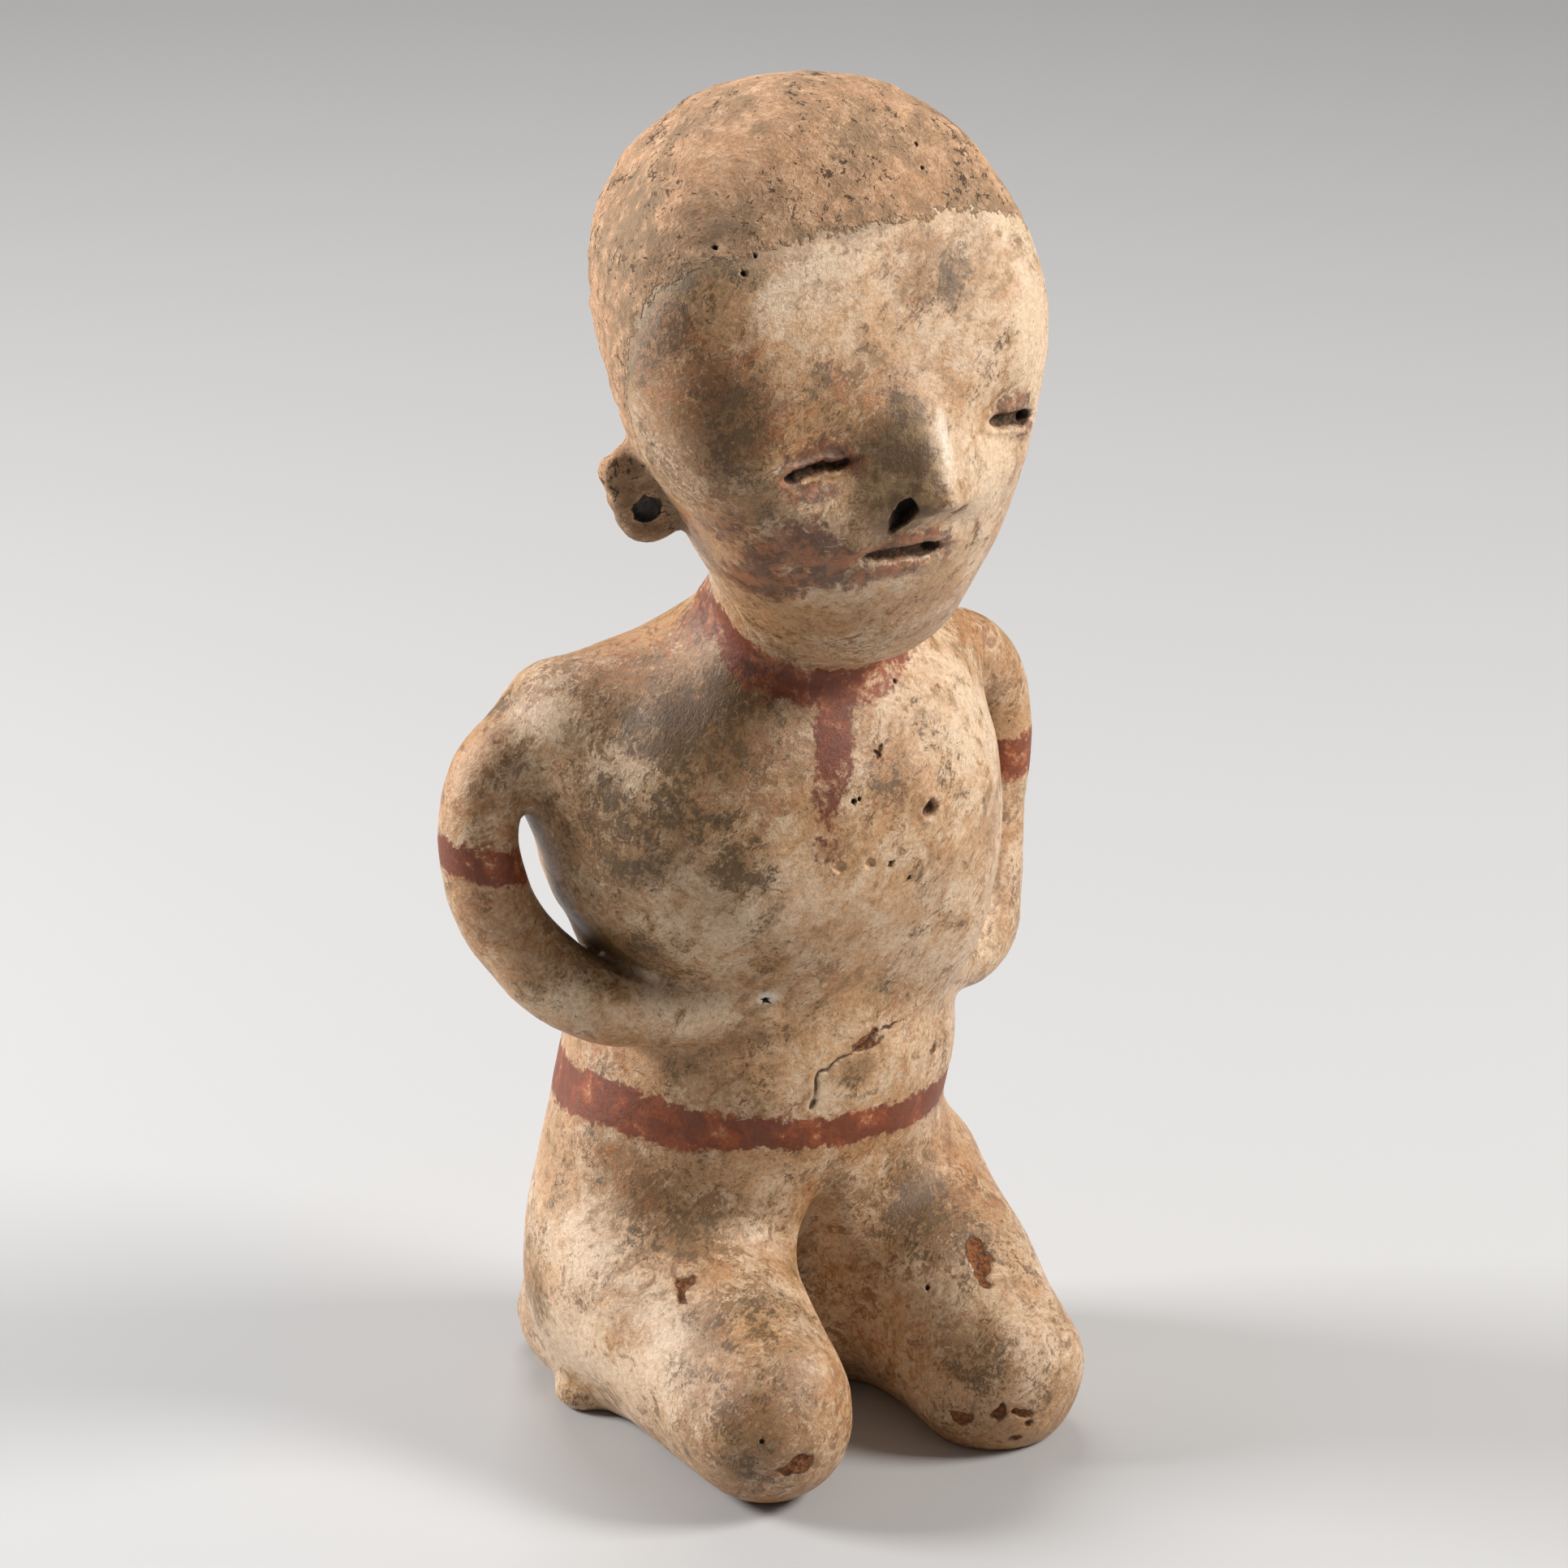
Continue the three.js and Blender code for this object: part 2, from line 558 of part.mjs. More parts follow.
const root = new THREE.Group();
root.name = "kneeling_figure";
root.add(mesh);
export default root;
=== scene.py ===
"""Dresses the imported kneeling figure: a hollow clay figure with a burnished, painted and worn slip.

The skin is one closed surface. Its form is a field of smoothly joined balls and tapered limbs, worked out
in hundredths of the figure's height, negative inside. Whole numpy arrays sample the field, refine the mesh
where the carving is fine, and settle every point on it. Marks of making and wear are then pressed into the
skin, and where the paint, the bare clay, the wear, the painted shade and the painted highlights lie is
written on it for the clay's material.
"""

import logging
import math
from dataclasses import dataclass, field, fields
from enum import Enum
from typing import Callable, Dict, List, Sequence, Tuple

import bpy
import numpy as np
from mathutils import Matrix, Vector


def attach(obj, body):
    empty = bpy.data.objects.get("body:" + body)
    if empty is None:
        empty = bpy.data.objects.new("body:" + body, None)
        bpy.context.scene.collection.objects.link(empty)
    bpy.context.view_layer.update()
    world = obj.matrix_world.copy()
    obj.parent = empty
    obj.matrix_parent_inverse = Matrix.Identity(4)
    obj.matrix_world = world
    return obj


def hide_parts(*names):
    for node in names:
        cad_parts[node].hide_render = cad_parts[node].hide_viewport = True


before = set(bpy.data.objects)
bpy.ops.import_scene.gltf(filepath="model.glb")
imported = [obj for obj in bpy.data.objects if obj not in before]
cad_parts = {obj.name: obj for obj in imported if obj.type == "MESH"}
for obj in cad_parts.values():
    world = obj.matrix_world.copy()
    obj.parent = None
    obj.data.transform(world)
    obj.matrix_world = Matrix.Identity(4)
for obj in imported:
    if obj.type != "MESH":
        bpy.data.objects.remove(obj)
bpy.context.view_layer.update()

log = logging.getLogger("kneeling_figure")

Array = np.ndarray
Point = Tuple[float, float, float]
Row = Tuple[float, float, float, float]
Box = Tuple[Point, Point]
Field = Callable[[Array], Array]

HEIGHT = 0.280
UNIT = HEIGHT / 100.0
MM = 0.001 / UNIT


def join(a: Array, b: Array, fillet: float) -> Array:
    """Joins two fields: the smaller of the two, less a parabola where they are nearly equal.

    Args:
        a: One field's values.
        b: The other field's values.
        fillet: Width of the blend.

    Returns:
        The joined field's values.
    """
    t = np.clip(0.5 + 0.5 * (b - a) / fillet, 0.0, 1.0)
    return b + (a - b) * t - fillet * t * (1.0 - t)


def carve(a: Array, b: Array, lip: float) -> Array:
    """Cuts field b out of field a with a rounded lip."""
    return -join(-a, b, lip)


def both(a: Array, b: Array, lip: float) -> Array:
    """Keeps what is inside both fields, with a rounded edge."""
    return -join(-a, -b, lip)


def smooth(x: Array, low: float, high: float) -> Array:
    """Runs from 0 at low to 1 at high along a soft S, 3t² - 2t³."""
    t = np.clip((x - low) / (high - low), 0.0, 1.0)
    return t * t * (3.0 - 2.0 * t)


def lumps(p: Array, size: float, seed: int) -> Array:
    """Soft random lumps: random values at the corners of cubes, blended across each cube by 3t² - 2t³.

    Args:
        p: Points, one to a row.
        size: Side of a cube, in the same measure as the points.
        seed: Which random values to take.

    Returns:
        A value from -1 to 1 at each point.
    """
    q = p / size
    cell = np.floor(q).astype(np.int64)
    t = q - cell
    t = t * t * (3.0 - 2.0 * t)
    total = np.zeros(len(p))
    for corner in np.ndindex(2, 2, 2):
        share = np.prod(np.where(np.array(corner), t, 1.0 - t), axis=1)
        total += share * scatter(cell + np.array(corner), seed)
    return 2.0 * total - 1.0


@dataclass(frozen=True)
class LumpLayer:
    """One layer of unevenness: the lumps' height and size, and which random values they take."""

    height: float
    size: float
    seed: int


def unevenness(layers: Sequence[LumpLayer], p: Array) -> Array:
    """Adds up layers of lumps."""
    return sum(layer.height * lumps(p, layer.size, layer.seed) for layer in layers)


def scatter(cell: Array, seed: int) -> Array:
    """A random value from 0 to 1 for each whole-numbered cell: its numbers multiplied and mixed bit by bit.

    Args:
        cell: Whole numbers, three to a row.
        seed: Which random values to take.

    Returns:
        One value to a row.
    """
    mixed = (cell[:, 0] * 73856093) ^ (cell[:, 1] * 19349663) ^ (cell[:, 2] * 83492791) ^ (seed * 2654435761)
    mixed = mixed & 0xFFFFFFFF
    mixed = ((mixed ^ (mixed >> 15)) * 2246822519) & 0xFFFFFFFF
    mixed = ((mixed ^ (mixed >> 13)) * 3266489917) & 0xFFFFFFFF
    return ((mixed ^ (mixed >> 16)) & 0xFFFFFF) / float(0xFFFFFF)


def near_only(p: Array, box: Box, form: Field, reach: float = 6.0, margin: float = 3.0) -> Array:
    """Works a field out only near its own box, and gives a safe larger distance elsewhere.

    Args:
        p: Points.
        box: The box's low and high corners.
        form: The field inside the box.
        reach: How far outside the box the field is still worked out.
        margin: What is added to the distance from the box elsewhere.

    Returns:
        The field's values.
    """
    low, high = np.array(box)
    gap = np.linalg.norm(np.maximum(np.maximum(low - p, p - high), 0.0), axis=1)
    out = gap + margin
    close = gap < reach
    if close.any():
        out[close] = form(p[close])
    return out


@dataclass(frozen=True)
class Ball:
    """A lump of clay: an ellipsoid with its three half sizes."""

    centre: Point
    half: Point

    def distance(self, p: Array) -> Array:
        """Distance to the ellipsoid: its scaled radius k, times k - 1, over the length of its slope.

        Args:
            p: Points.

        Returns:
            Distances, negative inside.
        """
        q = p - np.array(self.centre)
        near = np.linalg.norm(q / np.array(self.half), axis=1)
        slope = np.linalg.norm(q / np.square(self.half), axis=1)
        return near * (near - 1.0) / np.maximum(slope, 1e-9)


@dataclass(frozen=True)
class Limb:
    """A ball rolled from one end to the other while its radius changes."""

    start: Row
    end: Row

    def distance(self, p: Array) -> Array:
        """Distance to a cone that touches both end balls, or to an end ball past where the cone touches it.

        Args:
            p: Points.

        Returns:
            Distances, negative inside.
        """
        a = np.array(self.start[:3])
        d = np.array(self.end[:3]) - a
        first, last = self.start[3], self.end[3]
        l2 = float(d @ d)
        taper = first - last
        a2 = l2 - taper * taper
        q = p - a
        along = q @ d
        past = along - l2
        x2 = np.square(q * l2 - along[:, None] * d).sum(1)
        y2 = along * along * l2
        z2 = past * past * l2
        lift = math.copysign(1.0, taper) * taper * taper * x2
        side = (np.sqrt(x2 * a2 / l2) + along * taper) / l2 - first
        out = np.where(np.sign(along) * a2 * y2 < lift, np.sqrt(x2 + y2) / l2 - first, side)
        return np.where(np.sign(past) * a2 * z2 > lift, np.sqrt(x2 + z2) / l2 - last, out)


@dataclass(frozen=True)
class Coil:
    """A rolled coil of clay along a smooth curve through its rows."""

    rows: Tuple[Row, ...]
    steps: int = 9

    def path(self) -> Array:
        """The curve: between rows, the cubic whose slope at each row is half the step across its neighbours.

        Returns:
            Rows of x, y, z and radius.
        """
        rows = np.array(self.rows)
        rows = np.vstack([2 * rows[0] - rows[1], rows, 2 * rows[-1] - rows[-2]])
        t = (np.arange(self.steps) / self.steps)[None, :, None]
        a, b, c, d = (rows[i:len(rows) - 3 + i, None, :] for i in range(4))
        curve = 2 * b + (c - a) * t + (2 * a - 5 * b + 4 * c - d) * t**2 + (3 * b - a - 3 * c + d) * t**3
        return np.vstack([0.5 * curve.reshape(-1, 4), rows[-2]])

    def distance(self, p: Array) -> Array:
        """The nearest of the short limbs along the curve.

        Args:
            p: Points.

        Returns:
            Distances, negative inside.
        """
        rows = self.path()
        best = np.full(len(p), np.inf)
        for start, end in zip(rows[:-1], rows[1:]):
            best = np.minimum(best, Limb(tuple(start), tuple(end)).distance(p))
        return best


@dataclass(frozen=True)
class Ear:
    """A flat tab of clay with rounded edges, pierced through its lower part."""

    centre: Point
    turn: float
    lean: float
    half: Point = (3.25, 1.15, 3.85)
    corner: float = 0.72
    hole: float = 0.68
    hole_at: Tuple[float, float] = (0.35, -1.15)
    slant: Tuple[float, float] = (0.35, 0.55)
    edge_round: float = 0.9
    hole_lip: float = 0.35
    hole_ragged: float = 0.12

    def local(self, p: Array) -> Array:
        """Turns points about the vertical and then leans them, into the tab's own width, depth and height."""
        a, b = math.radians(self.turn), math.radians(self.lean)
        turn = np.array([[math.cos(a), math.sin(a), 0], [-math.sin(a), math.cos(a), 0], [0, 0, 1]])
        lean = np.array([[math.cos(b), 0, math.sin(b)], [0, 1, 0], [-math.sin(b), 0, math.cos(b)]])
        return (p - np.array(self.centre)) @ (lean @ turn).T

    def distance(self, p: Array) -> Array:
        """A rounded outline, given a thickness with rounded edges, less the hole.

        Args:
            p: Points.

        Returns:
            Distances, negative inside.
        """
        u, v, w = self.local(p).T
        outline = rounded(np.abs(u) - self.half[0], np.abs(w) - self.half[2], self.corner * self.half[0])
        tab = rounded(outline, np.abs(v) - self.half[1], self.edge_round * self.half[1])
        return carve(tab, self.to_hole(p), self.hole_lip)

    def nearby(self, p: Array, reach: float) -> Array:
        """Distance to the tab, worked out only in a box that reaches so far from its middle."""
        centre = np.array(self.centre)
        return near_only(p, (centre - reach, centre + reach), self.distance)

    def in_hole(self, p: Array) -> Array:
        """1 on the wall of the hole, 0 elsewhere on the tab and off it."""
        u, v, w = np.abs(self.local(p)).T
        close = (u < self.half[0]) & (v < self.half[1] + 0.1) & (w < self.half[2])
        return close * (1.0 - smooth(self.to_hole(p), -0.05, 0.25))

    def to_hole(self, p: Array) -> Array:
        """Distance to the round hole, which runs outwards and upwards as it goes back."""
        u, v, w = self.local(p).T
        back = v + self.half[1]
        outward = math.copysign(self.slant[0], self.centre[0])
        gap = np.hypot(u - self.hole_at[0] - outward * back, w - self.hole_at[1] - self.slant[1] * back)
        return gap - self.hole + self.hole_ragged * lumps(p, 0.7, 8)


def rounded(u: Array, v: Array, radius: float) -> Array:
    """The corner between two sides at u and v, rounded to a radius."""
    reach = np.hypot(np.maximum(u + radius, 0.0), np.maximum(v + radius, 0.0))
    return reach + np.minimum(np.maximum(u, v) + radius, 0.0) - radius


@dataclass(frozen=True)
class Head:
    """Skull, cheeks and chin with a gently bulged face, two shallow eye hollows, a nose and two ears."""

    skull: Ball = Ball((-0.2, -10.3, 86.9), (14.4, 16.2, 12.9))
    jaw: Limb = Limb((-0.8, -15.8, 83.5, 16.1), (1.8, -11.9, 67.9, 9.4))
    bulge_centre: Point = (-3.8, 25.7, 70.3)
    bulge_radius: float = 50.6
    hollows: Tuple[Ball, ...] = (
        Ball((-6.6, -26.1, 77.9), (4.2, 2.9, 2.8)),
        Ball((9.2, -24.4, 78.1), (3.8, 2.8, 2.7)),
    )
    nose_top: Point = (0.3, -23.3, 82.4)
    nose_tip: Point = (1.1, -27.6, 74.3)
    nose_right: Point = (-4.5, -24.0, 74.2)
    nose_left: Point = (5.5, -23.4, 74.4)
    nose_under: Point = (1.2, -27.2, 73.4)
    under_normal: Point = (0.0, -0.20, -0.98)
    flank_radius: float = 20.0
    ridge_round: float = 1.5
    under_round: float = 1.8
    cheek_fillet: float = 3.6
    bulge_edge: float = 5.0
    hollow_lip: float = 2.2
    nose_fillet: float = 1.4
    nose_box: Box = ((-7, -30, 70), (9, -18, 84))
    ear_fillet: float = 0.6
    ears: Tuple[Ear, Ear] = (
        Ear((-13.1, -11.3, 73.5), -11, 23, hole_at=(-1.03, -1.03)),
        Ear((14.2, -9.9, 73.5), 11, -23, hole_at=(1.03, -1.03)),
    )

    def flank(self, p: Array, foot: Point) -> Array:
        """A gently rounded flank: the large ball that touches the nose's top, its tip and one foot.

        Its middle lies behind the middle of the circle through the three points, along their normal.

        Args:
            p: Points.
            foot: Where the flank meets the cheek, low down.

        Returns:
            Distances, negative inside.
        """
        top = np.array(self.nose_top)
        a, b = np.array(self.nose_tip) - top, np.array(foot) - top
        normal = np.cross(a, b)
        circle = np.cross((a @ a) * b - (b @ b) * a, normal) / (2.0 * normal @ normal)
        normal *= -math.copysign(1.0, normal[1]) / np.linalg.norm(normal)
        centre = top + circle - normal * math.sqrt(self.flank_radius**2 - circle @ circle)
        return np.linalg.norm(p - centre, axis=1) - self.flank_radius

    def nose(self, p: Array) -> Array:
        """A wedge inside both flanks, its ridge a little rounded, cut off by the underside."""
        d = both(self.flank(p, self.nose_right), self.flank(p, self.nose_left), self.ridge_round)
        return both(d, (p - np.array(self.nose_under)) @ np.array(self.under_normal), self.under_round)

    def face(self, p: Array) -> Array:
        """Skull joined to jaw, kept inside the great ball that bulges the face, less the eye hollows."""
        d = join(self.skull.distance(p), self.jaw.distance(p), self.cheek_fillet)
        bulge = np.linalg.norm(p - np.array(self.bulge_centre), axis=1) - self.bulge_radius
        d = both(d, bulge, self.bulge_edge)
        for hollow in self.hollows:
            d = carve(d, hollow.distance(p), self.hollow_lip)
        return d

    def distance(self, p: Array) -> Array:
        """The whole head.

        Args:
            p: Points.

        Returns:
            Distances, negative inside.
        """
        d = join(self.face(p), near_only(p, self.nose_box, self.nose), self.nose_fillet)
        for ear in self.ears:
            d = join(d, ear.nearby(p, 4.5), self.ear_fillet)
        return d


@dataclass(frozen=True)
class Torso:
    """Chest, belly, hips, shoulders and neck, run into one another."""

    chest: Ball = Ball((0.6, -3.9, 46.0), (17.5, 12.8, 14.8))
    side: Ball = Ball((8.6, -3.6, 38.5), (8.9, 9.6, 10.0))
    belly: Ball = Ball((1.4, -1.0, 26.4), (14.6, 12.4, 13.8))
    hips: Ball = Ball((-1.3, 0.1, 11.2), (15.4, 11.3, 14.7))
    shoulders: Limb = Limb((-14.0, -0.7, 52.1, 5.5), (13.9, -0.6, 52.6, 4.7))
    neck: Limb = Limb((0.7, -4.1, 50.5, 6.5), (-0.2, -8.1, 65.5, 5.4))
    fillets: Tuple[float, ...] = (5.1, 3.0, 7.3, 3.7, 4.4)

    def distance(self, p: Array) -> Array:
        """Each lump joined to the last with its own fillet.

        Args:
            p: Points.

        Returns:
            Distances, negative inside.
        """
        d = self.chest.distance(p)
        lumps_of_clay = (self.belly, self.side, self.hips, self.shoulders, self.neck)
        for lump, fillet in zip(lumps_of_clay, self.fillets):
            d = join(d, lump.distance(p), fillet)
        return d


@dataclass(frozen=True)
class Leg:
    """A folded leg: thigh forward, calf back along the ground, and a short foot."""

    hip: Row
    knee: Row
    shin: Row
    ankle: Row
    toe: Row
    heel: Tuple[float, float, float] = (1.5, 3.3, 3.3)
    foot_fillet: float = 1.1
    calf_fillet: float = 1.5

    def distance(self, p: Array) -> Array:
        """Calf joined to foot, then to thigh.

        Args:
            p: Points.

        Returns:
            Distances, negative inside.
        """
        calf = Limb(self.shin, self.ankle).distance(p)
        back, height, radius = self.heel
        foot = Limb((self.ankle[0], self.ankle[1] + back, height, radius), self.toe).distance(p)
        thigh = Limb(self.hip, self.knee).distance(p)
        return join(join(calf, foot, self.foot_fillet), thigh, self.calf_fillet)


RIGHT_ARM = Coil((
    (-10.0, 0.0, 52.5, 4.2), (-18.3, -0.5, 51.2, 3.4), (-21.5, -1.2, 47.0, 2.75),
    (-20.0, -2.0, 39.6, 2.75), (-14.5, -6.0, 33.8, 2.95), (-4.2, -10.0, 33.0, 1.9),
))
LEFT_ARM = Coil((
    (10.0, 0.0, 52.2, 4.2), (19.0, 0.4, 51.6, 3.4), (21.8, 0.7, 46.0, 2.8),
    (20.9, 0.3, 38.4, 2.75), (17.8, -3.0, 31.6, 3.1), (9.6, -8.0, 31.9, 1.9),
))
RIGHT_LEG = Leg((-8.1, -4.3, 9.8, 9.0), (-8.7, -19.2, 6.0, 6.3), (-8.7, -16.6, 4.9, 4.6),
                (-8.9, 5.0, 4.7, 5.9), (-9.9, 9.9, 2.9, 2.9))
LEFT_LEG = Leg((9.5, -2.1, 12.1, 9.0), (10.8, -18.3, 4.7, 6.4), (10.8, -16.0, 3.9, 4.6),
               (7.8, 4.5, 4.3, 6.0), (8.8, 9.9, 2.9, 2.9))


@dataclass(frozen=True)
class FigureForm:
    """The whole modelled form, from the head to the legs cut flat where they rest."""

    head: Head = Head()
    torso: Torso = Torso()
    arms: Tuple[Coil, Coil] = (RIGHT_ARM, LEFT_ARM)
    legs: Tuple[Leg, Leg] = (RIGHT_LEG, LEFT_LEG)
    cleft: Ball = Ball((0.3, -15.2, 8.0), (2.8, 7.0, 11.5))
    seam: Limb = Limb((-15.2, -0.6, 44.0, 0.6), (-12.6, -3.4, 34.6, 1.2))
    lug: Ball = Ball((-13.3, -0.4, 1.2), (1.9, 2.2, 1.5))
    seam_ragged: float = 0.35
    seam_fillet: float = 0.6
    lug_fillet: float = 0.9
    arm_fillet: float = 0.9
    leg_fillet: float = 2.6
    cleft_lip: float = 1.5
    head_fillet: float = 2.2
    floor_edge: float = 0.25
    seam_box: Box = ((-18, -5, 33), (-11, 1, 46))
    lug_box: Box = ((-16, -3, 0), (-11, 2, 3))
    head_box: Box = ((-18, -28, 58), (18, 8, 101))
    arm_boxes: Tuple[Box, Box] = (((-25, -14, 29), (-4, 5, 57)), ((6, -12, 28), (25, 5, 57)))
    leg_boxes: Tuple[Box, Box] = (((-18, -27, 0), (0, 13, 20)), ((0, -27, 0), (20, 13, 22)))
    front_start: float = -34.0
    front_steps: int = 80

    def distance(self, p: Array) -> Array:
        """Torso and legs, arms and head joined, kept above the ground.

        Args:
            p: Points.

        Returns:
            Distances, negative inside.
        """
        legs = np.minimum(*(near_only(p, box, leg.distance) for box, leg in zip(self.leg_boxes, self.legs)))
        d = join(self.torso.distance(p), legs, self.leg_fillet)
        d = carve(d, self.cleft.distance(p), self.cleft_lip)
        for box, part, fillet in (
            (self.seam_box, self.edge_of_clay, self.seam_fillet),
            (self.lug_box, self.lug.distance, self.lug_fillet),
            *((box, arm.distance, self.arm_fillet) for box, arm in zip(self.arm_boxes, self.arms)),
            (self.head_box, self.head.distance, self.head_fillet),
        ):
            d = join(d, near_only(p, box, part), fillet)
        return both(d, -p[:, 2], self.floor_edge)

    def edge_of_clay(self, p: Array) -> Array:
        """The ragged seam of clay beside the opening at the right arm: a limb roughened by lumps."""
        return self.seam.distance(p) + self.seam_ragged * lumps(p, 1.3, 9)

    def slope(self, p: Array, step: float = 0.06) -> Tuple[Array, Array]:
        """Value and gradient from four points round each point, at the corners of a small tetrahedron.

        Args:
            p: Points.
            step: Half the side of the cube that holds the tetrahedron.

        Returns:
            The field's value and its gradient.
        """
        corners = np.array([[1, -1, -1], [-1, -1, 1], [-1, 1, -1], [1, 1, 1]], float)
        values = [self.distance(p + corner * step) for corner in corners]
        gradient = sum(value[:, None] * corner for value, corner in zip(values, corners)) / (4.0 * step)
        return sum(values) / 4.0, gradient

    def settle(self, p: Array, rounds: int = 3) -> Array:
        """Moves points on to the surface: back along the gradient by the value over the gradient squared.

        Args:
            p: Points.
            rounds: How many times the step is taken.

        Returns:
            The moved points.
        """
        for _ in range(rounds):
            value, gradient = self.slope(p)
            size = np.maximum(np.square(gradient).sum(1), 0.25)
            p = p - np.clip(value / size, -0.6, 0.6)[:, None] * gradient
        return p

    def normals(self, p: Array) -> Array:
        """The outward direction at each point."""
        gradient = self.slope(p)[1]
        return gradient / np.maximum(np.linalg.norm(gradient, axis=1), 1e-9)[:, None]

    def front(self, x: float, z: float) -> Array:
        """The first point of the figure met by a line that runs in from the front at x and z."""
        p = np.array([[x, self.front_start, z]])
        for _ in range(self.front_steps):
            p[:, 1] += 0.8 * np.maximum(self.distance(p), 0.001)
        return p[0]


@dataclass
class SampledSurface:
    """A triangle mesh in hundredths of the height, with the steps that make and refine it."""

    points: Array
    triangles: Array

    @staticmethod
    def of(form: FigureForm, low: Point, high: Point, cell: float) -> "SampledSurface":
        """Samples a form on a grid: a point in each cell that it crosses, a square for each cut edge.

        The point is the mean of where the surface cuts the cell's twelve edges, each found by straight
        interpolation. Values are first worked out on every fourth grid line, then only near the surface.

        Args:
            form: The form to sample.
            low: Low corner of the grid.
            high: High corner of the grid.
            cell: Side of a cell.

        Returns:
            The sampled surface.
        """
        counts = [4 * math.ceil((b - a) / (4 * cell)) + 1 for a, b in zip(low, high)]
        axes = [a + cell * np.arange(n) for a, n in zip(low, counts)]
        coarse = np.stack(np.meshgrid(*[axis[::4] for axis in axes], indexing="ij"), -1)
        far = form.distance(coarse.reshape(-1, 3)).reshape(coarse.shape[:3])
        rough = far.repeat(4, 0).repeat(4, 1).repeat(4, 2)[:counts[0], :counts[1], :counts[2]]
        grid = np.stack(np.meshgrid(*axes, indexing="ij"), -1)
        value = rough.copy()
        close = np.abs(rough) < 9.0 * cell
        value[close] = form.distance(grid[close])
        value[value == 0.0] = 1e-9
        inside = value < 0.0

        total = np.zeros((*[n - 1 for n in counts], 3))
        hits = np.zeros([n - 1 for n in counts])
        cut = []
        for axis in range(3):
            a = [slice(None)] * 3
            b = [slice(None)] * 3
            a[axis], b[axis] = slice(None, -1), slice(1, None)
            crossing = inside[tuple(a)] != inside[tuple(b)]
            va, vb = value[tuple(a)], value[tuple(b)]
            share = np.where(crossing, va / np.where(crossing, va - vb, 1.0), 0.0)
            where = grid[tuple(a)].copy()
            where[..., axis] += share * cell
            cut.append(crossing)
            others = [n for n in range(3) if n != axis]
            for shift in np.ndindex(2, 2):
                part = [slice(None)] * 3
                for other, s in zip(others, shift):
                    part[other] = slice(s, counts[other] - 1 + s)
                total += np.where(crossing[tuple(part)][..., None], where[tuple(part)], 0.0)
                hits += crossing[tuple(part)]
        used = hits > 0
        index = np.full(used.shape, -1)
        index[used] = np.arange(used.sum())
        points = total[used] / hits[used][:, None]

        squares = []
        for axis in range(3):
            inner = tuple(slice(None) if n == axis else slice(1, -1) for n in range(3))
            at = np.argwhere(cut[axis][inner]) + (np.arange(3) != axis)
            u, v = (axis + 1) % 3, (axis + 2) % 3
            ring = []
            for du, dv in ((0, 0), (1, 0), (1, 1), (0, 1)):
                cellat = at.copy()
                cellat[:, u] -= du
                cellat[:, v] -= dv
                ring.append(index[tuple(cellat.T)])
            ring = np.stack(ring, 1)
            outward = inside[tuple(at.T)]
            squares.append(np.where(outward[:, None], ring, ring[:, ::-1]))
        ring = np.vstack(squares)
        across = np.linalg.norm(points[ring[:, 0]] - points[ring[:, 2]], axis=1)
        other = np.linalg.norm(points[ring[:, 1]] - points[ring[:, 3]], axis=1)
        ring = np.where((across < other)[:, None], ring, np.roll(ring, -1, axis=1))
        return SampledSurface(points, np.vstack([ring[:, [0, 1, 2]], ring[:, [0, 2, 3]]]))

    def edges(self) -> Tuple[Array, Array]:
        """Every edge once, and for each triangle the numbers of its three edges ab, bc and ca."""
        pairs = self.triangles[:, [0, 1, 1, 2, 2, 0]].reshape(-1, 2)
        pairs = np.sort(pairs, axis=1)
        key = pairs[:, 0] * (len(self.points) + 1) + pairs[:, 1]
        _, first, number = np.unique(key, return_index=True, return_inverse=True)
        return pairs[first], number.reshape(-1, 3)

    def refine(self, target: Field) -> bool:
        """Halves each edge that is longer than the target, and splits its triangles into two, three or four.

        Args:
            target: Longest edge wanted at each point.

        Returns:
            True if an edge was halved.
        """
        edges, of_triangle = self.edges()
        ends = self.points[edges]
        length = np.linalg.norm(ends[:, 0] - ends[:, 1], axis=1)
        marked = length > target(ends.mean(1))
        if not marked.any():
            return False
        middle = np.full(len(edges), -1)
        middle[marked] = len(self.points) + np.arange(marked.sum())
        self.points = np.vstack([self.points, ends[marked].mean(1)])
        mid = middle[of_triangle]
        count = (mid >= 0).sum(1)
        out = [self.triangles[count == 0]]

        pick = count == 3
        (a, b, c), (ab, bc, ca) = self.triangles[pick].T, mid[pick].T
        out += [np.stack(t, 1) for t in ((a, ab, ca), (ab, b, bc), (ca, bc, c), (ab, bc, ca))]

        pick = count == 1
        turn = (mid[pick] >= 0).argmax(1)
        a, b, c, ab = self.turned(self.triangles[pick], mid[pick], turn)[:4]
        out += [np.stack(t, 1) for t in ((a, ab, c), (ab, b, c))]

        pick = count == 2
        turn = (mid[pick] < 0).argmax(1)
        a, b, c, _, bc, ca = self.turned(self.triangles[pick], mid[pick], turn)
        out += [np.stack(t, 1) for t in ((a, b, bc), (a, bc, ca), (ca, bc, c))]
        self.triangles = np.vstack(out)
        return True

    @staticmethod
    def turned(triangles: Array, mid: Array, turn: Array) -> List[Array]:
        """Turns each triangle's corners and edge middles so that its edge number turn comes first."""
        order = (turn[:, None] + np.arange(3)) % 3
        return [*np.take_along_axis(triangles, order, 1).T, *np.take_along_axis(mid, order, 1).T]

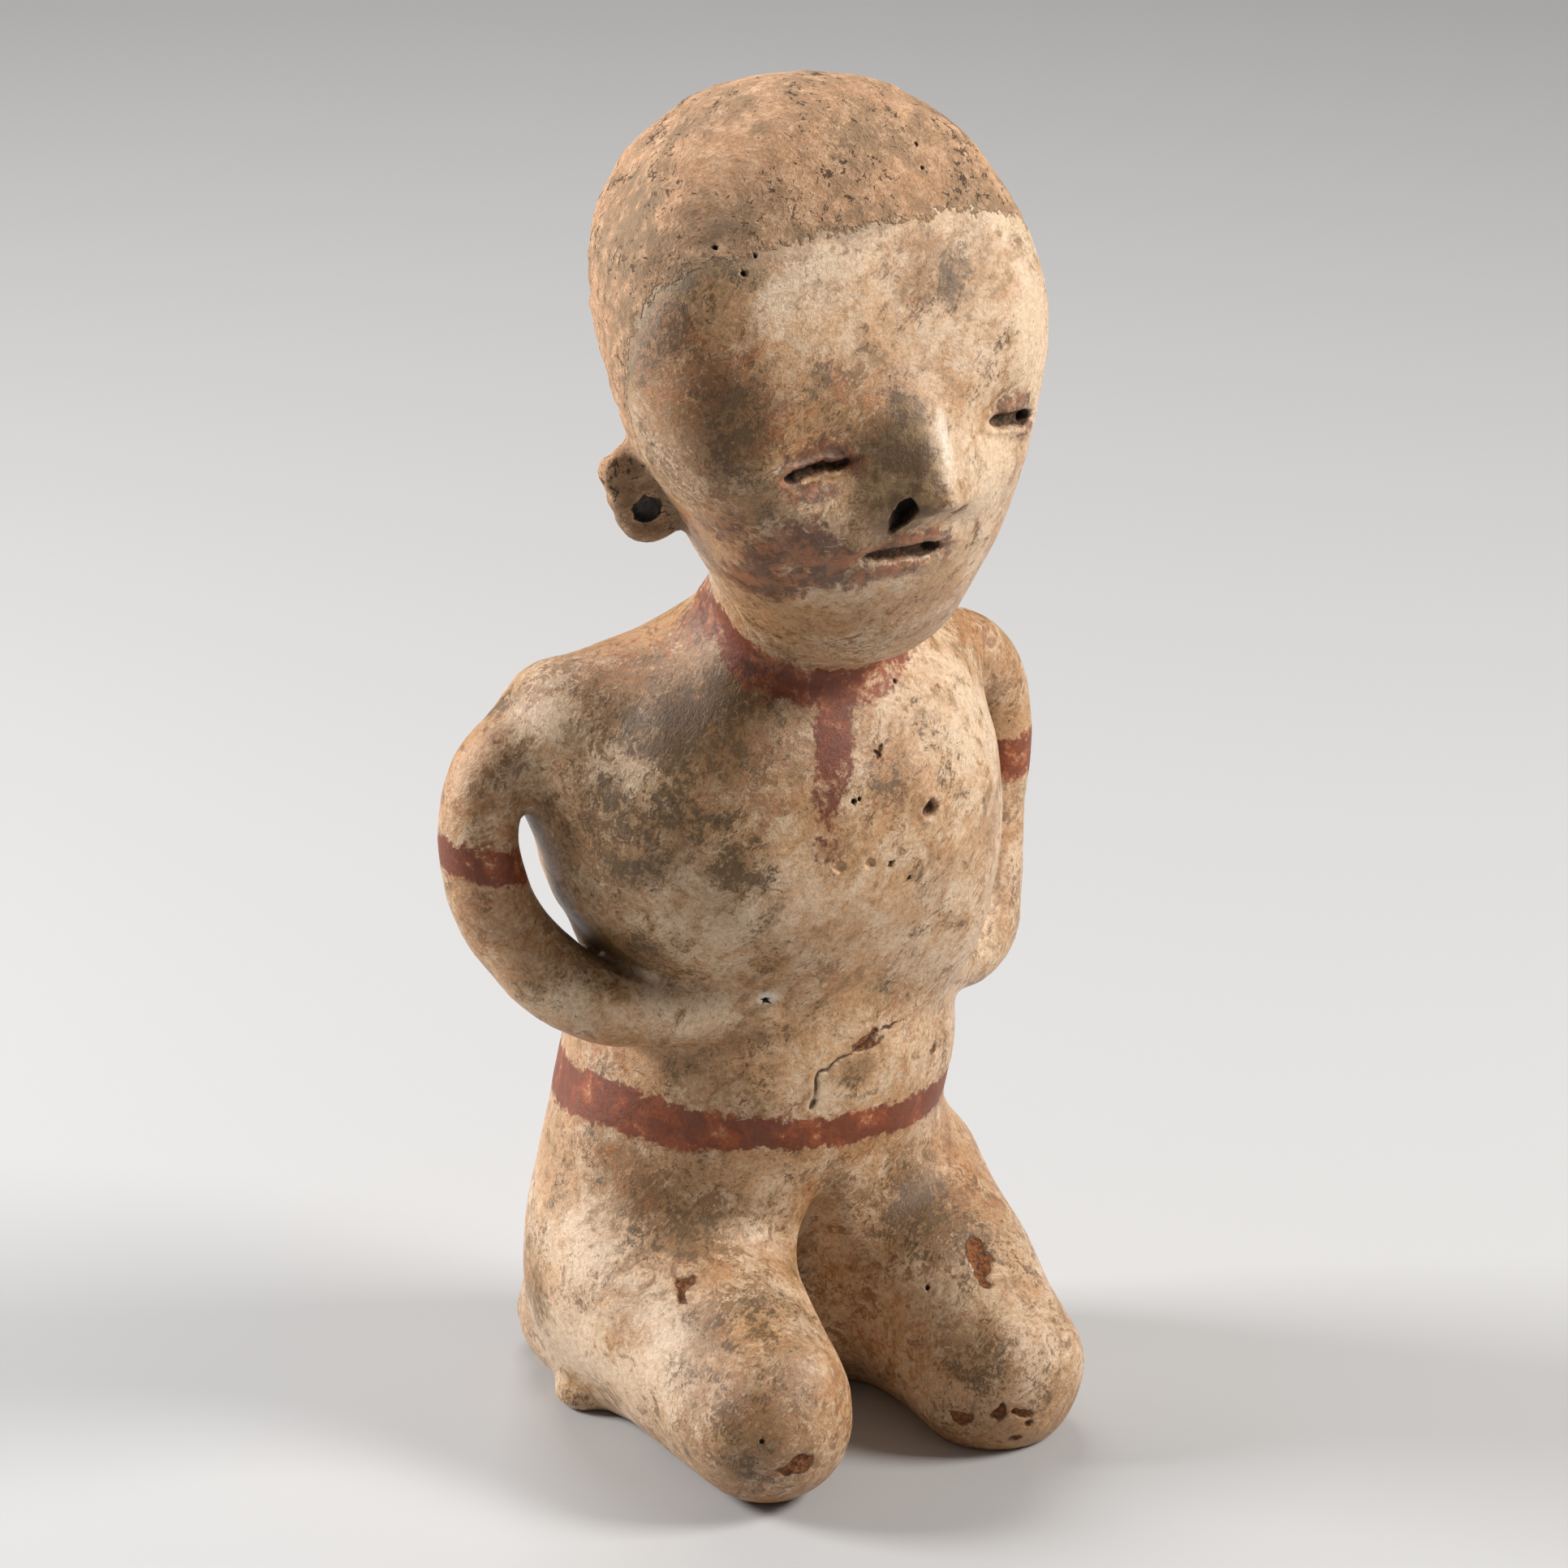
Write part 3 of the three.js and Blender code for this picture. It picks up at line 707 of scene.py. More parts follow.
    def relax(self, normals: Array, share: float) -> None:
        """Slides each point along the surface towards the mean of its neighbours.

        Args:
            normals: Outward directions at the points.
            share: How far of the way each point goes.
        """
        edges, _ = self.edges()
        a = np.concatenate([edges[:, 0], edges[:, 1]])
        b = np.concatenate([edges[:, 1], edges[:, 0]])
        count = np.maximum(np.bincount(a, minlength=len(self.points)), 1)
        sums = [np.bincount(a, self.points[b, n], len(self.points)) for n in range(3)]
        move = np.stack(sums, 1) / count[:, None] - self.points
        move -= (move * normals).sum(1)[:, None] * normals
        self.points = self.points + share * move

    def open_edges(self) -> int:
        """How many edges don't lie between exactly two triangles."""
        _, number = self.edges()
        return int((np.bincount(number.ravel()) != 2).sum())


@dataclass(frozen=True)
class Slit:
    """A straight cut pressed into soft clay with a tool's end, deepest at a pit near one end.

    Start and end are places across and up. The pit's place runs from -1 at the start to 1 at the end, wave is
    how far the edges wander, and floor is how dark the shallow part is.
    """

    start: Tuple[float, float]
    end: Tuple[float, float]
    width: float
    depth: float
    pit: float
    wave: float = 0.10
    floor: float = 0.45
    lip: float = 0.12
    reach: float = 8.0
    swell: float = 0.35
    pit_length: float = 0.20

    def press(self, form: FigureForm, p: Array) -> Tuple[Array, Array]:
        """How far each point is pushed in: full depth within a ragged long oval, less a small raised lip.

        The oval's radius is the length of (along over half length, across over half width), made ragged by
        lumps. Depth falls as one less the radius to the sixth power.

        Args:
            form: The form that is cut.
            p: Points on its surface.

        Returns:
            The push of each point, and how deep in the cut it is from 0 to 1.
        """
        a, b = form.front(*self.start), form.front(*self.end)
        middle = (a + b) / 2
        middle[1] = form.front(middle[0], middle[2])[1]
        along = (b - a) / np.linalg.norm(b - a)
        face = form.normals(middle[None])[0]
        face = face - along * (face @ along)
        face /= np.linalg.norm(face)
        across = np.cross(face, along)
        q = p - middle
        close = np.linalg.norm(q, axis=1) < self.reach
        u = q @ along / (0.5 * np.linalg.norm(b - a))
        v = q @ across
        v = v + self.wave * lumps(p, 1.1, 11) + 0.5 * self.wave * lumps(p, 0.4, 12)
        half = 0.5 * self.width * (1.0 + self.swell * np.exp(-np.square((u - self.pit) / 0.28)))
        radius = np.sqrt(np.abs(u) ** 3 + np.square(v / half)) + 0.12 * lumps(p, 0.5, 13)
        deep = np.clip(1.0 - radius**6, 0.0, 1.0) * close * (np.abs(q @ face) < 3.0)
        pit = np.exp(-np.square((u - self.pit) / self.pit_length))
        depth = self.depth * (0.72 + 0.16 * lumps(p, 0.5, 14) + 0.8 * pit)
        rim = self.lip * np.exp(-np.square((radius - 1.6) / 0.5)) * close
        push = rim[:, None] * face - (deep * depth)[:, None] * face
        return push, deep * np.clip(self.floor + 0.10 * lumps(p, 0.45, 15) + pit, 0.0, 1.0)


@dataclass(frozen=True)
class Poke:
    """A hole poked into the clay along its own direction, with a ragged oval mouth."""

    at: Point
    along: Point
    into: Point
    half_length: float
    half_width: float
    depth: float
    lip: float = 0.0
    reach: float = 2.6
    dark: float = 1.0

    def press(self, form: FigureForm, p: Array) -> Tuple[Array, Array]:
        """Pushes points in by the depth times one less the fourth power of their radius in the oval.

        Args:
            form: The form that is poked.
            p: Points on its surface.

        Returns:
            The push of each point, and how deep in the hole it is from 0 to 1.
        """
        into = np.array(self.into) / np.linalg.norm(self.into)
        along = np.array(self.along) - into * (np.array(self.along) @ into)
        along /= np.linalg.norm(along)
        across = np.cross(into, along)
        q = p - np.array(self.at)
        close = np.linalg.norm(q, axis=1) < self.reach
        radius = np.hypot(q @ along / self.half_length, q @ across / self.half_width)
        radius = radius + 0.20 * lumps(p, 0.7, 21) + 0.10 * lumps(p, 0.35, 22)
        deep = np.clip(1.0 - radius**4, 0.0, 1.0) * close
        rim = self.lip * np.exp(-np.square((radius - 1.25) / 0.3)) * close
        return (self.depth * deep - rim)[:, None] * into, self.dark * deep


@dataclass(frozen=True)
class Pit:
    """A small round pit or dent, found on the skin from in front by its place across and up."""

    across: float
    up: float
    radius: float
    depth: float
    dark: float = 1.0

    def press(self, form: FigureForm, p: Array) -> Tuple[Array, Array]:
        """Pushes points straight in by the depth times one less the fourth power of their radius in the pit.

        Args:
            form: The form that is pitted.
            p: Points on its surface.

        Returns:
            The push of each point, and how dark it is from 0 to 1.
        """
        at = form.front(self.across, self.up)
        away = np.linalg.norm(p - at, axis=1) + 0.25 * self.radius * lumps(p, 0.3, 23)
        deep = np.clip(1.0 - (away / self.radius) ** 4, 0.0, 1.0)
        return -(self.depth * deep)[:, None] * form.normals(at[None]), self.dark * deep


@dataclass(frozen=True)
class Spot:
    """A soft or hard-edged area on the skin, as a ball of influence round a point."""

    at: Point
    radius: Point
    strength: float = 1.0

    def nearness(self, p: Array) -> Array:
        """Distance inside the spot's edge in its own radii: 1 at the centre, 0 at the edge, less outside."""
        q = (p - np.array(self.at)) / np.array(self.radius)
        return 1.0 - np.linalg.norm(q, axis=1)

    def soft(self, p: Array) -> Array:
        """A bell-shaped strength round the centre."""
        q = (p - np.array(self.at)) / np.array(self.radius)
        return self.strength * np.exp(-np.square(q).sum(1))


def strongest(spots: Sequence[Spot], p: Array) -> Array:
    """The strongest of several soft spots."""
    best = np.zeros(len(p))
    for spot in spots:
        best = np.maximum(best, spot.soft(p))
    return best


def spots(*rows: Tuple[float, ...]) -> Tuple[Spot, ...]:
    """Spots from rows of numbers: place, radii and, where it isn't 1, strength."""
    return tuple(Spot(row[:3], row[3:6], *row[6:]) for row in rows)


@dataclass(frozen=True)
class Stroke:
    """A line drawn over the skin through points, of a width in hundredths."""

    through: Tuple[Point, ...]
    half_width: float
    start_strength: float = 1.0
    end_strength: float = 1.0

    def measure(self, p: Array) -> Tuple[Array, Array]:
        """Distance inside the stroke's edge, and its strength there, from the nearest straight piece.

        Args:
            p: Points.

        Returns:
            Distance inside the edge (negative outside), and the strength.
        """
        rows = np.array(self.through)
        best = np.full(len(p), np.inf)
        place = np.zeros(len(p))
        for i, (a, b) in enumerate(zip(rows[:-1], rows[1:])):
            d = b - a
            t = np.clip((p - a) @ d / (d @ d), 0.0, 1.0)
            gap = np.linalg.norm(p - a - t[:, None] * d, axis=1)
            nearer = gap < best
            best = np.where(nearer, gap, best)
            place = np.where(nearer, (i + t) / (len(rows) - 1), place)
        strength = self.start_strength + (self.end_strength - self.start_strength) * place
        return self.half_width - best, strength


class Mark(Enum):
    """What is written on the skin for the material, one number at each point."""

    RED_EDGE = "red_edge"
    RED_STRENGTH = "red_strength"
    BARE_EDGE = "bare_edge"
    FLAKE_EDGE = "flake_edge"
    # Smoke clouds, partly painted shade.
    SMOKE = "smoke"
    WARM = "warm"
    # Pale thick slip and painted highlights.
    PALE = "pale"
    BLUSH = "blush"
    # Stain and painted shade on the flank of the nose.
    STAIN_AND_SHADE = "stain"
    # How deep a point lies in a cut or hole; the material darkens it with grime and painted shade.
    HOLLOW = "hollow"
    # Where the form folds in, darkened in the material as painted shade.
    CREASE = "crease"
    CRACK = "crack"


@dataclass(frozen=True)
class ArmBand:
    """A flat ring of red across an upper arm: its half width, height, slope, and where across it lies."""

    half: float
    up: float
    slope: float
    across: float
    starts: float

    def inside(self, p: Array) -> Array:
        """Distance inside the ring, and well outside it nearer the chest than where the arm starts."""
        x, _, z = p.T
        gap = np.abs(z - self.up - self.slope * (x - self.across))
        return np.where(x * np.sign(self.across) > self.starts, self.half - gap, -2.0)


@dataclass(frozen=True)
class RedPaint:
    """Where red slip was painted: belt, arm bands, collar, breast stripe, and round eyes, mouth and cheek."""

    belt_half: float = 1.3
    belt_wider: float = 0.55
    belt_height: float = 24.0
    band_strength: float = 0.9
    arm_bands: Tuple[ArmBand, ArmBand] = (
        ArmBand(1.35, 44.9, -0.22, -22.0, 17.6),
        ArmBand(1.6, 44.0, 0.12, 22.0, 18.6),
    )
    collar: Stroke = Stroke((
        (0.8, -13.4, 57.0), (-2.4, -13.0, 57.6), (-5.0, -11.3, 58.7), (-6.0, -9.3, 60.8), (-6.6, -6.0, 62.6),
        (-4.6, -1.8, 63.4), (0.0, -0.8, 63.4), (5.0, -2.2, 62.6), (7.0, -6.0, 60.4), (7.0, -10.2, 58.0),
        (4.3, -12.7, 57.1), (0.8, -13.4, 57.0),
    ), 1.35, 0.85, 0.85)
    stripe: Stroke = Stroke((
        (0.2, -13.5, 57.2), (-0.5, -14.6, 54.4), (-1.3, -15.8, 51.4), (-1.7, -16.3, 49.3),
        (-1.7, -16.6, 46.0),
    ), 1.42, 1.0, 0.52)
    blushes: Tuple[Spot, ...] = spots(
        (-6.6, -23.2, 77.9, 2.9, 3, 1.3, 1.3), (-9, -22.2, 76.9, 1.3, 3, 1.6, 1.2),
        (-7.6, -23.2, 75.8, 2.2, 3, 0.9, 1), (-4.2, -23.6, 77.2, 1, 3, 1, 1),
        (9.3, -21.9, 78.6, 2.6, 3, 1, 1), (10.4, -21, 76.5, 1.6, 3, 0.8, 0.8),
        (-0.6, -23.6, 71.2, 3.8, 2.6, 0.8, 1.1), (-0.8, -23.6, 68.9, 3.2, 2.6, 0.8, 1.1),
        (-3.6, -23, 68.7, 1.8, 2.6, 1.2, 1), (3, -23, 70, 1.2, 2.6, 1.2, 0.8),
        (-8, -22.6, 71.8, 2.6, 3.4, 2.4, 1.2), (-10.4, -21.4, 69.6, 2.8, 3.4, 2.8, 1.2),
        (-5.4, -23, 71, 2.2, 3, 1.4, 0.9), (-7.4, -5.6, 61.6, 3.2, 3.4, 2.4, 1),
        (0.9, -27, 73.6, 1.6, 2, 0.8, 0.7), (-4.6, -11.4, 58.9, 2.2, 2.5, 1.6, 0.9),
        (-8.8, -19.6, 68, 2.6, 5, 2.2, 1.2), (-6, -22, 69.4, 2.4, 3.4, 1.6, 1.1),
        (-11.6, -19, 73, 1.8, 4, 2.6, 0.8),
    )

    def belt(self, p: Array) -> Array:
        """Distance inside the belt: it circles the waist a little higher on the figure's right."""
        x, y, z = p.T
        sag = np.minimum(y + 8.0, 4.0) - np.clip(y + 3.0, 0.0, 5.0)
        middle = self.belt_height - 0.085 * x + 0.10 * sag
        side = smooth(-x, 4.0, 14.0)
        return self.belt_half + self.belt_wider * side - np.abs(z - middle + 0.25 * side)

    def write(self, p: Array) -> Tuple[Array, Array]:
        """The nearest painted edge in millimetres and the paint's strength there.

        Args:
            p: Points on the skin.

        Returns:
            Distance inside the paint's edge, and strength from 0 to 1.
        """
        edge = self.belt(p)
        strength = np.ones(len(p))
        bands = np.maximum(*(band.inside(p) for band in self.arm_bands))
        strength = np.where(bands > edge, self.band_strength, strength)
        edge = np.maximum(edge, bands)
        for stroke in (self.collar, self.stripe):
            inside, strong = stroke.measure(p)
            strength = np.where(inside > edge, strong, strength)
            edge = np.maximum(edge, inside)
        return np.clip(edge / MM, -4.0, 4.0), strength


@dataclass(frozen=True)
class BareCap:
    """The unslipped back and top of the head, and the ears: all but an oval of slip over the face."""

    middle: Point = (0.0, -10.0, 77.0)
    half_turn: float = 75.0
    rise: float = 15.3
    nape: float = 69.5
    oval_size: float = 14.0
    ear_reach: float = 0.5

    def write(self, form: FigureForm, p: Array) -> Array:
        """Distance outside the slipped oval in millimetres.

        The oval is drawn on turn about the head's upright line and height: each over its half size, to the
        fourth power, added, and one at the edge.

        Args:
            form: The figure, for its ears.
            p: Points on the skin.

        Returns:
            Positive on bare clay, negative on slip.
        """
        q = p - np.array(self.middle)
        turn = np.degrees(np.arctan2(q[:, 0], -q[:, 1]))
        side = np.abs(turn) / self.half_turn
        up = np.maximum(q[:, 2], 0.0) / self.rise
        oval = (side**4 + up**4) ** 0.25
        edge = (oval - 1.0) * self.oval_size
        edge = np.minimum(edge, p[:, 2] - self.nape - 0.03 * np.abs(turn))
        for ear in form.head.ears:
            edge = np.maximum(edge, self.ear_reach - ear.nearby(p, 4.0))
        return np.clip(edge / MM, -6.0, 6.0)


@dataclass(frozen=True)
class Wear:
    """Flaked slip, a crack across the belly, smoke clouds that are partly painted shade, the nose's stain
    with its painted shade, warm worn clay, and pale thick slip that is partly painted highlights.
    """

    flakes: Tuple[Spot, ...] = spots(
        (9.7, -17.9, 12.6, 1, 1.6, 1.2), (10.2, -16.9, 13.2, 1.1, 1.4, 0.6),
        (-12, -13.6, 14.5, 0.8, 1, 0.6), (-9.8, -25.3, 4.9, 1.2, 1, 0.5), (-4.3, -23.2, 3.5, 0.5, 0.8, 0.5),
        (5.8, -22, 3.1, 0.9, 1, 0.6), (7.8, -23.8, 3.7, 0.6, 0.8, 0.7), (9.5, -24.4, 3.2, 0.7, 0.8, 0.5),
        (9.2, -23.7, 1.7, 0.9, 0.8, 0.4), (3.6, -12.9, 29.8, 1.3, 1.2, 0.75),
        (9.8, -11.1, 27.2, 0.5, 0.8, 0.6), (-6, 12, 20, 0.9, 1.2, 0.7), (13, 4, 12, 0.8, 0.8, 1),
    )
    crack: Stroke = Stroke((
        (-1.5, -13.2, 25.6), (-1.3, -13.2, 26.9), (-0.8, -13.1, 28.2), (0.8, -13.2, 28.9), (2.6, -13.1, 29.5),
        (3.7, -12.9, 29.8), (5.7, -12.4, 30.3), (8.3, -11.3, 30.7),
    ), 0.075)
    # Smoke clouds, partly painted shade: some sit where shade falls, at the temple, on the nose's flank and
    # on the chest under the right arm.
    clouds: Tuple[Spot, ...] = spots(
        (-9, -10, 54.8, 6.4, 6, 4.6, 0.85), (-13, -9, 48.8, 5, 6, 4.6, 0.85),
        (-13, -7.8, 38.4, 4, 4, 2, 0.6), (-9.4, -14, 45, 3.4, 5, 3, 0.45),
        (1.8, -13.3, 27.9, 2, 2, 1.6, 0.6), (-12.2, -7.5, 19.3, 4, 4, 3, 0.7),
        (-10.6, -10.5, 16.5, 3, 3.5, 3.5, 0.7), (-12.2, -21, 81.6, 3.8, 5, 4.2, 0.75),
        (-1.6, -24.5, 77, 2.4, 3, 3.8, 1), (-11.6, -22, 8, 5, 6, 4.6, 0.45),
        (-12.4, -17.3, 12.5, 3, 3, 3, 0.5), (7.8, -12.4, 16.6, 4, 3, 3, 0.7),
        (6.4, -21.1, 9, 3, 3.5, 3, 0.4), (-17.3, 0, 9.6, 3, 4, 5, 0.5), (4.1, -12.7, 34, 3, 3, 2.5, 0.2),
        (3.9, -16.2, 50.8, 2.5, 3, 3, 0.3), (6, 9, 45, 7, 6, 8, 0.7), (-7, 10, 26, 6, 5, 6, 0.6),
        (9, 8, 12, 5, 5, 5, 0.6), (18, 0, 50, 4, 4, 4, 0.4), (-19.6, -1, 55.6, 3.4, 4, 2.4, 0.5),
        (-8, -19, 13, 4, 5, 4, 0.4), (-13.9, -11, 91.6, 4, 8, 7, 0.9), (-16, -12, 85, 3, 6, 5, 0.7),
        (-10.5, -18, 92.4, 5, 4, 2.4, 0.7), (-2.6, -19.6, 93.2, 4, 3, 1.6, 0.6),
        (3, -23, 88.6, 5, 5, 3, 0.5), (-5, -24, 83.4, 4, 4, 3, 0.4), (-6.4, -11, 30.4, 4, 4, 2, 0.4),
        (-15.2, -17.4, 87.4, 2.4, 4, 4, 0.4), (8.6, -14.6, 14.2, 4, 5, 3.4, 0.7),
        (-12, -12, 20, 3.4, 6, 3.6, 0.6),
    )
    warmth: Tuple[Spot, ...] = spots(
        (-15.2, -0.9, 18.6, 5, 6, 5, 0.8), (-3.7, -12.5, 22, 5, 4, 1.8, 0.7),
        (4, -12.8, 21.5, 5, 3, 1.6, 0.7), (-1.4, -12.3, 18.4, 2, 3, 2.6, 0.7),
        (-9.3, -1.6, 58.6, 6, 4, 3, 0.8), (17.4, -2.7, 55.4, 5, 4, 3, 0.7),
        (-12.8, -19.6, 73.6, 2.6, 3, 5, 0.7), (-6.6, -14.2, 63.8, 5, 4, 2, 0.8),
        (-22.6, 0, 51.5, 3, 4, 5, 0.6), (-4.3, -22.6, 7, 2, 4, 4, 0.6), (-17, -6.6, 33, 5, 4, 2.4, 0.5),
        (-12.8, -2.8, 29, 4, 5, 2.6, 0.6), (13.6, -9, 17.3, 3, 4, 6, 0.7), (10, -20, 1, 8, 8, 2, 0.7),
        (-9, -20, 1, 8, 9, 2, 0.7), (14, -17, 67.5, 5, 5, 4, 0.6), (4, -14, 62.5, 5, 4, 1.6, 0.6),
        (22, 1, 47, 3, 4, 6, 0.5), (-12.6, -19.6, 86, 5, 5, 4.6, 0.9), (-9, -22.6, 80.6, 4.4, 4, 2.6, 0.8),
        (-11.4, -13, 70.4, 3.4, 5, 5, 0.9), (-2, -20.6, 65.4, 6, 4, 2.6, 0.8),
        (-4, -22, 85.4, 9, 6, 5, 0.6), (1, -15, 44, 9, 6, 9, 0.6), (0, -12, 30, 9, 6, 4, 0.6),
        (-21, 0, 42, 4, 6, 8, 0.7),
    )
    # Pale thick slip, partly painted highlights: the strongest spots, on the nose's ridge and at the
    # forehead's edge, are painted highlights.
    pale_slips_and_highlights: Tuple[Spot, ...] = spots(
        (-5.5, -21.9, 87.6, 6.5, 4, 3.6, 0.8), (9, -19.8, 86.7, 4, 4, 5, 0.4),
        (-13, -9.5, 50.9, 3.6, 4, 4.4, 0.7), (11, -10.8, 51, 5, 4, 6, 0.8),
        (-14.9, -14.7, 11, 2.4, 3, 4, 0.7), (6.6, -14.1, 38.9, 5, 4, 5, 0.5),
        (-7.4, -12.2, 33.4, 4, 3, 1.8, 0.6), (-4, -21.3, 67, 4.5, 3, 2.4, 0.7),
        (-10, -13.4, 42, 4.4, 4, 4.4, 0.7), (7.4, -17.3, 13, 4, 4, 4, 0.5),
        (5, -22.6, 74, 3.4, 3, 4.6, 0.9), (-6.2, -18, 12, 2.5, 4, 4, 0.4),
        (1.9, -25.2, 78.4, 1.1, 3, 4.6, 1.5), (-4.6, -12.7, 34.4, 1.3, 1.8, 0.8, 2),
        (11.6, -17, 84, 2.6, 5, 7, 1.4), (3, -24, 84.6, 4, 4, 2.6, 0.6), (-15, -3, 15.6, 2.6, 6, 5, 0.9),
        (-16, -5, 6, 2.6, 6, 4.6, 1), (-14.6, -7.6, 34.6, 5, 4, 1.6, 0.7),
        (-16.6, -3.4, 55, 2.4, 4, 1.6, 0.7), (-4, -12.6, 21, 1.6, 4, 3, 0.6), (-2, -16, 43, 6, 4, 5, 0.7),
        (0, -13, 29, 6, 4, 3, 0.6),
    )
    flank: Limb = Limb((-0.3, -24.2, 80.4, 0.8), (-1.6, -25.0, 75.3, 3.1))
    flake_ragged: Tuple[LumpLayer, ...] = (LumpLayer(0.34, 0.8, 31), LumpLayer(0.20, 0.4, 32))

    def flake_edge(self, p: Array) -> Array:
        """Distance inside the nearest flake's ragged edge, in millimetres.

        Args:
            p: Points on the skin.

        Returns:
            Positive where the slip has flaked away.
        """
        ragged = unevenness(self.flake_ragged, p)
        shift = np.stack([0.7 * lumps(p, 1.1, seed) for seed in (33, 34, 35)], 1)
        edge = np.full(len(p), -9.0)
        for spot in self.flakes:
            edge = np.maximum(edge, spot.nearness(p + shift) * min(spot.radius))
        return np.clip((edge + ragged * np.exp(-np.abs(edge))) / MM, -3.0, 3.0)

    def crack_depth(self, p: Array) -> Array:
        """1 along the crack's wandering line and 0 beside it.

        Args:
            p: Points on the skin.

        Returns:
            A value from 0 to 1.
        """
        wander = np.stack([0.28 * lumps(p, 1.0, 41), np.zeros(len(p)), 0.34 * lumps(p, 0.8, 42)], 1)
        inside, _ = self.crack.measure(p + wander)
        width = self.crack.half_width * (1.0 + 0.5 * lumps(p, 1.6, 43))
        broken = smooth(lumps(p, 1.1, 44), -0.9, 0.0)
        return broken * smooth(inside - self.crack.half_width + width, -0.09, 0.04)

    def stain(self, p: Array) -> Array:
        """1 on the flank of the nose, for its stain and painted shade, fading out at its foot and cut off
        along the ridge.

        Args:
            p: Points on the skin.

        Returns:
            A value from 0 to 1.
        """
        ridge = 0.75 - 0.16 * (p[:, 2] - 79.0)
        return smooth(-self.flank.distance(p), -0.8, 0.8) * smooth(p[:, 0] - ridge, 0.4, -0.3)


